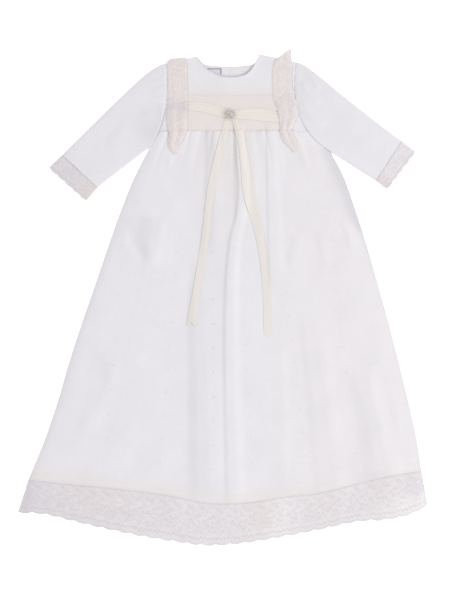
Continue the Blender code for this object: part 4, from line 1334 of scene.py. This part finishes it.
def lace_chart(along, down, depth, pitch):
    """A lace border's openwork, from 0 in the dense cloth to 1: a wavy line of holes under the seam, a leafy
    vine, flowers, smaller leaves, a zigzag and a line inside the scalloped foot.

    down runs from 0 at the seam to the depth at the scallops' edge, and everything repeats with the pitch.
    """
    turn = 2 * pi * along / pitch
    zigzag = depth * 0.84 + 0.05 * depth * (2 * np.abs(((along / pitch * 3) % 1.0) - 0.5) - 0.5)
    drawn = [
        0.5 * stroke(down - SEAM_HOLES - 0.5 * np.sin(2 * turn), 1.2),
        0.4 * flower(repeated(along, pitch, 0.0), down - 0.48 * depth, 0.14 * pitch),
        0.55 * stroke(down - zigzag, 1.1),
        0.5 * stroke(down - (depth - FOOT_LINE), 0.6),
    ]
    for t in THREADS:
        drawn.append(t.open * stroke(down - depth * (t.share + t.sway * np.sin(turn + t.phase)), 0.5))
    for one in LEAVES:
        repeat = pitch * one.repeat
        off = repeated(along, repeat, one.shift)
        outline = leaf(off, down - one.share * depth, one.turn, one.long * repeat, one.wide * repeat)
        drawn.append(one.open * outline)
    return np.clip(np.maximum.reduce(drawn), 0.0, 1.0)


# Settings that a user would change


def colour_property(name, description, code):
    return bpy.props.FloatVectorProperty(
        name=name, description=description, subtype="COLOR", size=3, min=0.0, max=1.0, default=linear(code)
    )


def length_property(name, description, millimetres):
    return bpy.props.FloatProperty(name=name, description=description, unit="LENGTH", min=0.0, precision=5,
                                   default=millimetres * MM)


def share_property(name, description, default):
    return bpy.props.FloatProperty(name=name, description=description, min=0.0, max=2.0, default=default)


class GownCloth(bpy.types.PropertyGroup):
    """Sizes and colours of the gown's cotton."""

    wall: length_property("Cloth thickness", "Thickness of the cotton panels", 0.7)
    fold_depth: share_property("Fold depth", "How high the skirt's long folds stand, 1 as laid", 1.0)
    crease_depth: share_property("Crease depth", "How deep the creases and swells are, 1 as laid", 1.0)
    cotton: colour_property("Cotton", "Colour of the batiste", "dedbe0")
    # This colour is also painted shade inside the neck and round the bow, and painted warm light at the
    # skirt's right
    warm: colour_property("Warm cotton", "Colour of the batiste where it lies double over a seam", "ddd8d7")
    band: colour_property("Band", "Colour of the waist band", "dcd5d3")
    # This colour is painted shade: the skirt's folds, tucks and sides and the sleeves are coloured with it
    # where shade falls
    shaded_cotton: colour_property("Doubled cotton", "Colour of the batiste where it lies several layers deep",
                             "cdcacf")


class GownLace(bpy.types.PropertyGroup):
    """Sizes and colours of the gown's lace."""

    wall: length_property("Lace thickness", "Thickness of the hem and cuff lace", 0.6)
    brace_wall: length_property("Brace thickness", "Thickness of the braces' lace", 0.35)
    relief: length_property("Thread relief", "How far the thick thread stands up from the net", 0.3)
    pitch: length_property("Pattern repeat", "Length of the hem lace's repeat, one to a scallop", 21.8)
    # The hem net's darker colour at its left end is painted shade, and the pale colour lightens it to the
    # right as painted light
    hem: colour_property("Hem lace", "Colour of the hem lace's net at its darker, left end", "cec9cf")
    cuff: colour_property("Cuff lace", "Colour of the cuff lace's net", "d4cfd2")
    brace: colour_property("Brace lace", "Colour of the braces' net", "dfd5d0")
    # The openwork's colour draws the lace's pattern, darker as the shade seen through its holes
    open_net_and_shade: colour_property("Open net", "Colour of the openwork that outlines the lace's pattern", "c3bdc5")
    warm: colour_property("Warm lace", "Colour of the lace where it has yellowed", "dad1cd")
    # The pale colour is painted light: it lightens the lace more towards the right
    pale: colour_property("Pale lace", "Colour of the lace where it is cleanest", "dfdcdd")


class GownTrim(bpy.types.PropertyGroup):
    """Sizes and colours of the ribbon, the button, the label and the embroidery."""

    ribbon_wall: length_property("Ribbon thickness", "Thickness of the ribbon", 0.3)
    ribbon: colour_property("Ribbon", "Colour of the ribbon over the band", "dfd8d1")
    ribbon_skirt: colour_property("Ribbon on skirt", "Colour of the ribbon where the skirt shows through",
                                  "dcd7d2")
    ribbon_edge: colour_property("Ribbon edge", "Colour of the ribbon's woven edges", "dfd7d0")
    metal: colour_property("Setting", "Colour of the button's metal", "e2dad8")
    stone: colour_property("Stone", "Colour of the button's stones", "c6bcba")
    label: colour_property("Label", "Colour of the blank label", "d3d0da")
    # The border's dark colour is painted shade, along the label's top and right under the neck's edge
    label_shade_border: colour_property("Label border", "Colour of the label's border", "8f8b99")
    sprig: colour_property("Embroidery", "Colour of the embroidery thread", "dfdbe0")
    # The edging's darker colour stands in for the shadow along the front neckline: painted shadow
    shadow_edging: colour_property("Neck edging", "Colour of the neck's narrow edging", "dad7dd")
    stitching: colour_property("Stitching", "Colour of the seams' thread", "dcd8dc")
    sprig_size: length_property("Sprig size", "Width of an embroidered sprig", 5.8)


class GownStage(bpy.types.PropertyGroup):
    """The floor, the light and the camera."""

    floor: colour_property("Floor", "Colour of the floor", "fbfbfb")
    key: bpy.props.FloatProperty(name="Key light", description="Power of the soft key light in watts",
                                 default=109.0, min=0.0)
    fill: bpy.props.FloatProperty(name="Fill light", description="Strength of the even light",
                                  default=0.769, min=0.0)
    height: bpy.props.FloatProperty(name="Camera height", description="Height of the camera over the floor",
                                    default=2.6, min=0.5, unit="LENGTH")


SETTINGS = {"gown_cloth": GownCloth, "gown_lace": GownLace, "gown_trim": GownTrim, "gown_stage": GownStage}

# Pieces


def rolled(grid, inset, drop, edges="lrtb"):
    """How far a panel's rim turns down at its seams: the drop times (1 - distance / inset)^2 in the inset."""
    down = np.zeros(grid.shape[:2])
    for side, line in (("l", grid[:, :1]), ("r", grid[:, -1:]), ("t", grid[:1]), ("b", grid[-1:])):
        if side in edges:
            away = np.linalg.norm(grid[..., :2] - line[..., :2], axis=-1)
            down = np.maximum(down, drop * np.clip(1 - away / inset, 0.0, 1.0) ** 2)
    return down


class GOWN_OT_back(bpy.types.Operator):
    """The back's panels: two bodice halves, the skirt and the hem lace, flat on the floor"""

    bl_idname = "gown.back"
    bl_label = "Back panels"

    def execute(self, context):
        cloth, lace = context.scene.gown_cloth, context.scene.gown_lace
        cotton = batiste("cotton_batiste_back", cloth, cloth.warm)
        gap, steps = SEAM_LINE / 2, BACK_PANEL_STEPS
        panels = {
            "back_bodice_left": bodice_grid("back_y", None, CENTRE_BACK_X - gap, WAIST_Y, steps, steps),
            "back_bodice_right": bodice_grid("back_y", CENTRE_BACK_X + gap, None, WAIST_Y, steps, steps),
            "back_skirt": skirt_grid(1, BACK_SKIRT_ROWS)[0],
        }
        for name, flat in panels.items():
            grid = with_height(flat, WALL - rolled(flat, 3.0, 0.35))
            # The facing's warm colour is also painted shade, inside the neck under the front's neckline
            facing_and_shade = 0.0
            if name != "back_skirt":
                x, y = flat[..., 0], flat[..., 1]
                neck_y = np.interp(x, values_of(NECK, "x"), values_of(NECK, "back_y"))
                facing_and_shade = smooth_step(1 - (neck_y - y) / FACING_DEPTH)
                facing_and_shade = facing_and_shade * (np.abs(x - CENTRE_BACK_X) < FACING_HALF_WIDTH)
            marks = {"warmth": facing_and_shade, "layers": 0.0}
            lay_sheet(name, "cloth", shell(grid), cotton, grid_uv(grid), marks)
        flat = hem_lace_grid(10, 24)
        uv = grid_uv(with_height(flat, WALL))
        motif = lace_chart(uv[:, 0], uv[:, 1], BACK_LACE_DEPTH, lace.pitch / MM)
        grid = with_height(flat, WALL - motif.reshape(flat.shape[:2]) * lace.relief / MM)
        net = cotton_lace("cotton_lace_back", lace, lace.hem, HEM_NET)
        marks = {"motif": motif, "warmth": 0.0, "pale": 0.4}
        lay_sheet("back_hem_lace", "net", shell(grid), net, uv, marks)
        return {"FINISHED"}


class GOWN_OT_front(bpy.types.Operator):
    """The front's yoke and waist band"""

    bl_idname = "gown.front"
    bl_label = "Yoke and waist band"

    def execute(self, context):
        cloth = context.scene.gown_cloth
        surfaces = front_surfaces()
        for name, slot in (("front_yoke", "cotton"), ("waist_band", "band")):
            grid = surfaces[name]
            x, y = grid[..., 0], grid[..., 1]
            grid[..., 2] -= rolled(grid, 1.2, 0.25, "tb") + rolled(grid, 2.6, 0.3, "lr")
            warmth = smooth_step((x - BAND_LEFT_X) / 18.0) * smooth_step((BAND_RIGHT_X - x) / 18.0)
            if name == "waist_band":
                grid[..., 2] += 0.05 * np.sin(2 * pi * x / BAND_CHECK) * np.sin(2 * pi * y / BAND_CHECK)
            else:
                warmth = warmth * np.clip(1 - (y - YOKE_SEAM_Y) / 26.0, 0.0, 1.0) ** 2
            material = batiste(f"cotton_{name}", cloth, cloth.band)
            marks = {"warmth": warmth, "layers": 0.0}
            lay_sheet(name, "cloth", shell(grid, cloth.wall / MM), material, grid_uv(grid),
                      marks)
        return {"FINISHED"}


class GOWN_OT_skirt(bpy.types.Operator):
    """The front skirt: gathers at the waist, long folds, creases and soft swells"""

    bl_idname = "gown.skirt"
    bl_label = "Front skirt"

    def execute(self, context):
        cloth = context.scene.gown_cloth
        grid = front_surfaces()["front_skirt"]
        grid[..., 2] -= rolled(grid, 1.6, 0.4, "tb")
        x, y = grid[..., 0], grid[..., 1]
        seam_y = np.interp(x, values_of(HEM, "x"), values_of(HEM, "seam_y"))
        # Round the bow the cloth is coloured warm as painted shade, and towards the right as a painted warm
        # light
        bow_shade = bell(x - BOW_X, 42.0) * bell(y - WAIST_Y, 110.0)
        above_lace = smooth_step(1 - (y - seam_y) / 30.0)
        warm_lit_side = smooth_step((x - 20.0) / 140.0)
        warmth = np.maximum.reduce([0.8 * above_lace, 0.9 * bow_shade, 0.25 * warm_lit_side])
        # Painted shade: the skirt is coloured darker along its sides, in its tucks and folds, and round the
        # bow
        depth = np.maximum.reduce([side_painted_shade(x, y), tuck_painted_shade(x, y), fold_painted_shade(x, y) + 0.15 * bow_shade])
        material = batiste("cotton_batiste_skirt", cloth, cloth.warm)
        marks = {"warmth": warmth, "layers": depth}
        lay_sheet("front_skirt", "cloth", shell(grid, cloth.wall / MM), material,
                  grid_uv(grid), marks)
        return {"FINISHED"}


class GOWN_OT_hem_lace(bpy.types.Operator):
    """The front's deep hem lace"""

    bl_idname = "gown.hem_lace"
    bl_label = "Hem lace"

    def execute(self, context):
        lace = context.scene.gown_lace
        grid = front_surfaces()["front_hem_lace"]
        uv = grid_uv(grid)
        down = uv[:, 1].reshape(grid.shape[:2])
        motif = lace_chart(uv[:, 0].reshape(down.shape), down, down[-1], lace.pitch / MM)
        grid[..., 2] += (0.3 - motif) * lace.relief / MM - rolled(grid, 1.6, 0.4, "t")
        x = grid[..., 0]
        warmth = sum(s.share * bell(x - s.x, s.reach) for s in WARM_STRETCHES)
        warmth = warmth * (0.4 + 0.6 * smooth_step(1 - down / 60.0))
        # Painted light: the lace is coloured paler from its darker left end towards the right
        pale = np.interp(x, values_of(HEM_PAINTED_LIGHT, "x"), values_of(HEM_PAINTED_LIGHT, "share"))
        pale = pale + PALE_STRETCH.share * bell(x - PALE_STRETCH.x, PALE_STRETCH.reach)
        corner = bell(x - PALE_CORNER.x, PALE_CORNER.reach) * smooth_step(down / 24.0 - 1.0)
        pale = pale + PALE_CORNER.share * corner
        material = cotton_lace("cotton_lace_hem", lace, lace.hem, HEM_NET)
        marks = {"motif": motif, "warmth": warmth, "pale": pale}
        lay_sheet("front_hem_lace", "net", shell(grid, lace.wall / MM), material,
                  uv, marks)
        return {"FINISHED"}


def sleeve_lines(armhole, top, cuff, along, across):
    """Lines of points across a sleeve, from the armhole's curve to the cuff's straight seam."""
    stations = np.linspace(0.0, 1.0, across)
    under = between(armhole[-1], cuff.seam_under, along)
    bulge = bezier(armhole, stations) - between(armhole[0], armhole[-1], stations)
    return ruled(bezier(top, along), under, stations) + ((1 - along) ** 2)[:, None, None] * bulge[None]


def sleeve_lift(lines, along):
    """How far a sleeve's cloth stands up: puffs |sin| round its gathered head, creases and a dip at its
    seam."""
    x, y = lines[..., 0], lines[..., 1]
    shares = np.linspace(0.0, 1.0, lines.shape[1])
    inside = np.sin(pi * shares)[None] ** 0.5
    head = smooth_step(1 - along / 0.36)[:, None] * smooth_step(shares / 0.08)
    head = head * smooth_step((0.62 - shares) / 0.25)
    puffs = 0.6 * np.abs(np.sin(9.5 * pi * shares[None] + 0.4 * np.sin(9.0 * along)[:, None]))
    creases = crease_loft(x, y, SLEEVE_CREASES) + 0.9 * swell_loft(x, y)
    lift = head * puffs + inside * bpy.context.scene.gown_cloth.crease_depth * creases
    from_seam = np.linalg.norm(lines - lines[:1], axis=2)
    return np.maximum(lift, -2.2 * inside) - 0.45 * bell(from_seam, 2.2)


class GOWN_OT_sleeves(bpy.types.Operator):
    """The two sleeves: flattened tubes with gathered heads and the creases of a laid arm"""

    bl_idname = "gown.sleeves"
    bl_label = "Sleeves"

    def execute(self, context):
        cloth = context.scene.gown_cloth
        material = batiste("cotton_batiste_sleeve", cloth, cloth.warm)
        along = np.linspace(0.0, 1.0, SLEEVE_STEPS[0]) ** 1.15
        for side, armhole, top, cuff in (
            ("left", LEFT_ARMHOLE, LEFT_SLEEVE_TOP, LEFT_CUFF),
            ("right", RIGHT_ARMHOLE, RIGHT_SLEEVE_TOP, RIGHT_CUFF),
        ):
            lines = sleeve_lines(armhole, top, cuff, along, SLEEVE_STEPS[1])
            lift = sleeve_lift(lines, along)
            shape = tube(*tube_rings(lines, SLEEVE_EDGE_RADIUS, SLEEVE_HEIGHT, cloth.wall / MM, lift))
            x, y = shape[0][:, 0], shape[0][:, 1]
            # Painted shade: each sleeve is coloured darker round these places
            shades = [s.layers * bell(np.hypot(x - s.x, y - s.y), s.reach) for s in SLEEVE_SHADES[side]]
            marks = {"warmth": 0.0, "layers": np.maximum.reduce(shades)}
            lay_sheet(f"sleeve_{side}", "cloth", shape, material, marks=marks)
        return {"FINISHED"}


class GOWN_OT_cuffs(bpy.types.Operator):
    """The lace at the two sleeves' ends"""

    bl_idname = "gown.cuffs"
    bl_label = "Cuff lace"

    def execute(self, context):
        lace = context.scene.gown_lace
        material = cotton_lace("cotton_lace_cuff", lace, lace.cuff, FINE_NET)
        along = np.linspace(0.0, 1.0, CUFF_STEPS[0])[:, None]
        shares = np.linspace(0.0, 1.0, CUFF_STEPS[1])
        count = len(shares)
        # Painted light: the right cuff is coloured paler than the left
        for side, cuff, painted_light in (("left", LEFT_CUFF, 0.1), ("right", RIGHT_CUFF, 0.75)):
            axis = np.asarray(cuff.end_top) - np.asarray(cuff.seam_top)
            depth = np.linalg.norm(axis)
            axis = axis / depth
            clear = axis * 2 * SEAM_LINE * (1 - along)
            start = between(cuff.seam_top, cuff.end_top, along[:, 0]) + clear
            end = between(cuff.seam_under, cuff.end_under, along[:, 0]) + clear
            scallop = CUFF_SCALLOP_DEPTH * np.abs(np.sin(CUFF_SCALLOPS * pi * shares))
            lines = ruled(start, end, shares) + axis * (along**3 * scallop[None])[..., None]
            u = shares[None] * np.linalg.norm(end - start, axis=1)[:, None]
            v = np.broadcast_to(along * depth, u.shape)
            motif = lace_chart(u + 5.0, v, depth, CUFF_LENGTH / CUFF_SCALLOPS)
            lift = (0.3 - motif) * lace.relief / MM + 0.25 * np.sin(u / 6.1 + v / 9.0) - 0.4 * bell(v, 1.6)
            rings = tube_rings(lines, SLEEVE_EDGE_RADIUS, CUFF_HEIGHT, lace.wall / MM, lift)
            openwork, warmth = np.zeros((2, *rings[0].shape[:2]))
            openwork[:, :count] = motif
            openwork[:, count + TUBE_CORNERS : 2 * count + TUBE_CORNERS] = motif[:, ::-1]
            warmth[:, :count] = 0.9 * smooth_step((shares[None] - 0.7) / 0.25)
            around = np.broadcast_to(lengths(rings[0][len(along) // 2]), warmth.shape)
            uv = np.stack([around, np.broadcast_to(along * depth, warmth.shape)], axis=-1).reshape(-1, 2)
            marks = {"motif": openwork, "warmth": warmth, "pale": painted_light}
            lay_sheet(f"cuff_lace_{side}", "net", tube(*rings), material, uv, marks)
        return {"FINISHED"}


class GOWN_OT_ribbon(bpy.types.Operator):
    """The organza ribbon: the sash and the bow's two tails"""

    bl_idname = "gown.ribbon"
    bl_label = "Ribbon"

    def execute(self, context):
        trim = context.scene.gown_trim
        found = layered()[0]
        material = organza("organza_ribbon", trim)
        for name in ("ribbon_tail_left", "ribbon_tail_right", "ribbon_sash"):
            grid = found[name][0]
            shares = np.linspace(-1.0, 1.0, grid.shape[1])
            side = np.broadcast_to(0.8 * smooth_step((np.abs(shares) - 0.8) / 0.18), grid.shape[:2])
            on_skirt = smooth_step((WAIST_Y + 8.0 - grid[..., 1]) / 26.0)
            marks = {"side": side, "skirt": on_skirt}
            lay_sheet(name, "organza", shell(grid, trim.ribbon_wall / MM), material,
                      grid_uv(grid), marks)
        return {"FINISHED"}


class GOWN_OT_braces(bpy.types.Operator):
    """The two lace braces, from the shoulders over the waist band to their free ends"""

    bl_idname = "gown.braces"
    bl_label = "Braces"

    def execute(self, context):
        lace = context.scene.gown_lace
        found = layered()[0]
        material = cotton_lace("cotton_lace_brace", lace, lace.brace, FINE_NET)
        # Painted light: the right brace is coloured paler than the left
        for name, crossed, painted_light in (("brace_left", 0.35, 0.15), ("brace_right", 0.15, 0.35)):
            grid, run = found[name]
            shares = np.linspace(-1.0, 1.0, grid.shape[1])
            run, across = np.broadcast_arrays(run[:, None], (shares[None] * 0.5 + 0.5) * BRACE_WIDTH)
            from_edge = np.minimum(across, BRACE_WIDTH - across) + 6.0
            motif = lace_chart(run, BRACE_WIDTH - from_edge * 1.2, BRACE_LACE_DEPTH, BRACE_PITCH)
            motif = np.minimum(0.9 * motif + crossed * bell(run - BRACE_CROSSING, 10.0), 1.0)
            grid[..., 2] += (0.3 - motif) * lace.relief / MM
            marks = {"motif": motif, "warmth": 0.1, "pale": painted_light}
            lay_sheet(name, "net", shell(grid, lace.brace_wall / MM), material,
                      grid_uv(grid), marks)
        return {"FINISHED"}


class GOWN_OT_button(bpy.types.Operator):
    """The jewel button: a metal setting, a ring of small stones and a domed centre stone"""

    bl_idname = "gown.button"
    bl_label = "Button"

    def execute(self, context):
        trim = context.scene.gown_trim
        base = np.array([*BUTTON_XY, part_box("button")[0].z / MM])
        points, faces = turned(BUTTON_SETTING, 48)
        metal = pewter("cast_pewter", trim.metal)
        pieces = [add_trim("button_setting", (points + base, faces), metal)]
        angles = 2 * pi * np.arange(SMALL_STONES) / SMALL_STONES
        x, y = STONE_RING * np.cos(angles), STONE_RING * np.sin(angles)
        places = np.column_stack([x, y, np.full(SMALL_STONES, STONE_SEAT)])
        points, faces = joined([turned(CENTRE_STONE, 10), copies(turned(SMALL_STONE, 6), places, angles)])
        glass = cut_stone("moulded_glass_stone", trim.stone)
        pieces.append(add_trim("button_stones", (points + base, faces), glass, smooth=0.1))
        for piece in pieces:
            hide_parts("button")
        return {"FINISHED"}


class GOWN_OT_label(bpy.types.Operator):
    """The blank woven label inside the back of the neck"""

    bl_idname = "gown.label"
    bl_label = "Label"

    def execute(self, context):
        trim = context.scene.gown_trim
        (low_x, low_y), (high_x, high_y) = LABEL
        x, y = np.meshgrid(np.linspace(low_x, high_x, 41), np.linspace(high_y, low_y, 21))
        z = WALL + SEAM_GAP + 0.4 + 0.12 * np.sin(x / 4.0)
        grid = np.stack([x, y, z], axis=-1)
        # The dark border along the top and right is painted shade
        border = np.maximum(smooth_step((x - high_x + 2.2) / 0.6), smooth_step((y - high_y + 1.8) / 0.6))
        satin = woven_label("woven_satin", trim.label, trim.label_shade_border)
        lay_sheet("neck_label", "satin", shell(grid, LABEL_WALL), satin,
                  grid_uv(grid), {"border": border})
        return {"FINISHED"}


class GOWN_OT_embroidery(bpy.types.Operator):
    """The sprigs embroidered in columns down the skirt, with small dots between them"""

    bl_idname = "gown.embroidery"
    bl_label = "Embroidery"

    def execute(self, context):
        trim = context.scene.gown_trim
        size = trim.sprig_size / MM
        small = dome_shape(0.16 * size, 0.06 * size, dome_profile(0.14), 6)
        places = np.array([[0.48, 0.26, 0.0], [-0.48, 0.26, 0.0]]) * size
        sprig = joined([ring_shape(0.3 * size, 0.06 * size, 12, 4), copies(small, places, [0.6, 2.5])])
        dot = dome_shape(0.5, 0.5, dome_profile(0.2), 6)
        lines = [between((c.x0, c.y0), (c.x1, c.y1), np.linspace(0.0, 1.0, c.sprigs)) for c in SPRIG_COLUMNS]
        dots = np.vstack([(line[1:] + line[:-1]) / 2 + np.array(DOT_OFFSET) for line in lines])
        dots = dots[side_distance(dots[:, 0], dots[:, 1]) > DOT_MARGIN]
        ground = layered()[1]
        parts = []
        for shape, spots, lift in ((sprig, np.vstack(lines), -0.05), (dot, dots, 0.0)):
            number = np.arange(len(spots))
            height = draped_over(ground, spots[None], 1)[0] + lift
            turns, sizes = 0.5 * np.sin(number * 2.4), 1.0 + 0.08 * np.sin(number * 1.7)
            parts.append(copies(shape, np.column_stack([spots, height]), turns, sizes))
        add_trim("skirt_embroidery", joined(parts), sewing_thread("embroidery_cotton", trim.sprig))
        return {"FINISHED"}


class GOWN_OT_sewing(bpy.types.Operator):
    """The neck's narrow edging, coloured darker than the cloth to stand in for the shadow along the front
    neckline, and the stitches along the yoke's, waist's and lace's seams
    """

    bl_idname = "gown.sewing"
    bl_label = "Sewing"

    def execute(self, context):
        trim = context.scene.gown_trim
        # The edging is a darker cord that stands in for the shadow along the front neckline: painted shadow
        x = np.linspace(NECK[0].x, NECK[-1].x, 140)
        y = smooth_through(x, values_of(NECK, "x"), values_of(NECK, "front_y")) - EDGING_HALF_WIDTH
        neck = np.column_stack([x, y, front_top(x, y) + 0.05])
        shadow_edging = cord(neck, EDGING_HALF_WIDTH, 0.25, 8)
        add_trim("neck_edging", shadow_edging, sewing_thread("bias_edging", trim.shadow_edging))
        stitch = dome_shape(*STITCH_SIZE, [(0, 0.16), (0.6, 0.12), (1.0, 0.0), (0, -0.05)], 6)
        seams = []
        for level in (YOKE_SEAM_Y + 1.4, WAIST_Y + 1.6):
            x = np.linspace(BAND_LEFT_X, SEAM_RIGHT_X, BODICE_STITCHES)
            seams.append((np.column_stack([x, np.full(BODICE_STITCHES, level)]), 0.0))
        spots = hem_row("seam_y", SIDES[-1].left_x + 6.0, SIDES[-1].right_x - 6.0, HEM_STITCHES)
        slope = np.arctan(np.gradient(spots[:, 1], spots[:, 0]))
        seams.append((spots + np.array([0.0, 1.6]), slope))
        ground = layered()[1]
        parts = []
        for spots, turns in seams:
            height = draped_over(ground, spots[None], 1)[0]
            parts.append(copies(stitch, np.column_stack([spots, height]), turns))
        add_trim("seam_stitches", joined(parts), sewing_thread("sewing_cotton", trim.stitching))
        return {"FINISHED"}


class GOWN_OT_stage(bpy.types.Operator):
    """A plain pale floor, an even light with a soft key from the right, and a camera straight above"""

    bl_idname = "gown.stage"
    bl_label = "Stage"

    def execute(self, context):
        scene, stage = context.scene, context.scene.gown_stage
        x, y = np.meshgrid(np.linspace(-3000, 3000, 5), np.linspace(3000, -3000, 5))
        slab = shell(np.stack([x, y, np.full(x.shape, FLOOR_Z)], axis=-1), 5.0)
        make_piece("floor", slab, opal_acrylic("opal_acrylic", stage.floor))
        world = bpy.data.worlds.new("even_light")
        world.use_nodes = True
        ground = world.node_tree.nodes["Background"]
        ground.inputs["Color"].default_value = (1.0, 1.0, 1.0, 1.0)
        ground.inputs["Strength"].default_value = stage.fill
        scene.world = world
        softbox = bpy.data.lights.new("key_light", "AREA")
        softbox.size = KEY_SIZE
        softbox.energy = stage.key
        key = bpy.data.objects.new("key_light", softbox)
        key.location = KEY_PLACE
        key.rotation_euler = key.location.to_track_quat("Z", "Y").to_euler()
        scene.collection.objects.link(key)
        lens = bpy.data.cameras.new("camera")
        lens.sensor_fit = "VERTICAL"
        lens.sensor_height = SENSOR_HEIGHT
        lens.lens = SENSOR_HEIGHT * (stage.height - CLOTH_LEVEL) / PICTURE_HEIGHT
        lens.clip_end = 20.0
        camera = bpy.data.objects.new("camera", lens)
        camera.location = (*CAMERA_XY, stage.height)
        scene.collection.objects.link(camera)
        scene.camera = camera
        scene.view_settings.view_transform = "Standard"
        return {"FINISHED"}


OPERATORS = (
    GOWN_OT_back, GOWN_OT_front, GOWN_OT_skirt, GOWN_OT_hem_lace, GOWN_OT_sleeves, GOWN_OT_cuffs,
    GOWN_OT_ribbon, GOWN_OT_braces, GOWN_OT_button, GOWN_OT_label, GOWN_OT_embroidery, GOWN_OT_sewing,
    GOWN_OT_stage,
)


class GOWN_PT_panel(bpy.types.Panel):
    """Lists the gown's settings and pieces"""

    bl_idname = "GOWN_PT_panel"
    bl_label = "Christening gown"
    bl_space_type = "VIEW_3D"
    bl_region_type = "UI"
    bl_category = "Gown"

    def draw(self, context):
        for name, group in SETTINGS.items():
            box = self.layout.box()
            for setting in group.__annotations__:
                box.prop(getattr(context.scene, name), setting)
        for operator in OPERATORS:
            self.layout.operator(operator.bl_idname)


def register():
    for made in (*SETTINGS.values(), *OPERATORS, GOWN_PT_panel):
        bpy.utils.register_class(made)
    for name, group in SETTINGS.items():
        setattr(bpy.types.Scene, name, bpy.props.PointerProperty(type=group))


def unregister():
    for name in SETTINGS:
        delattr(bpy.types.Scene, name)
    for made in reversed((*SETTINGS.values(), *OPERATORS, GOWN_PT_panel)):
        bpy.utils.unregister_class(made)


def main():
    register()
    for operator in OPERATORS:
        if "FINISHED" not in getattr(bpy.ops.gown, operator.bl_idname.split(".")[1])():
            raise RuntimeError(f"{operator.bl_label} didn't finish")


if __name__ == "__main__":
    main()
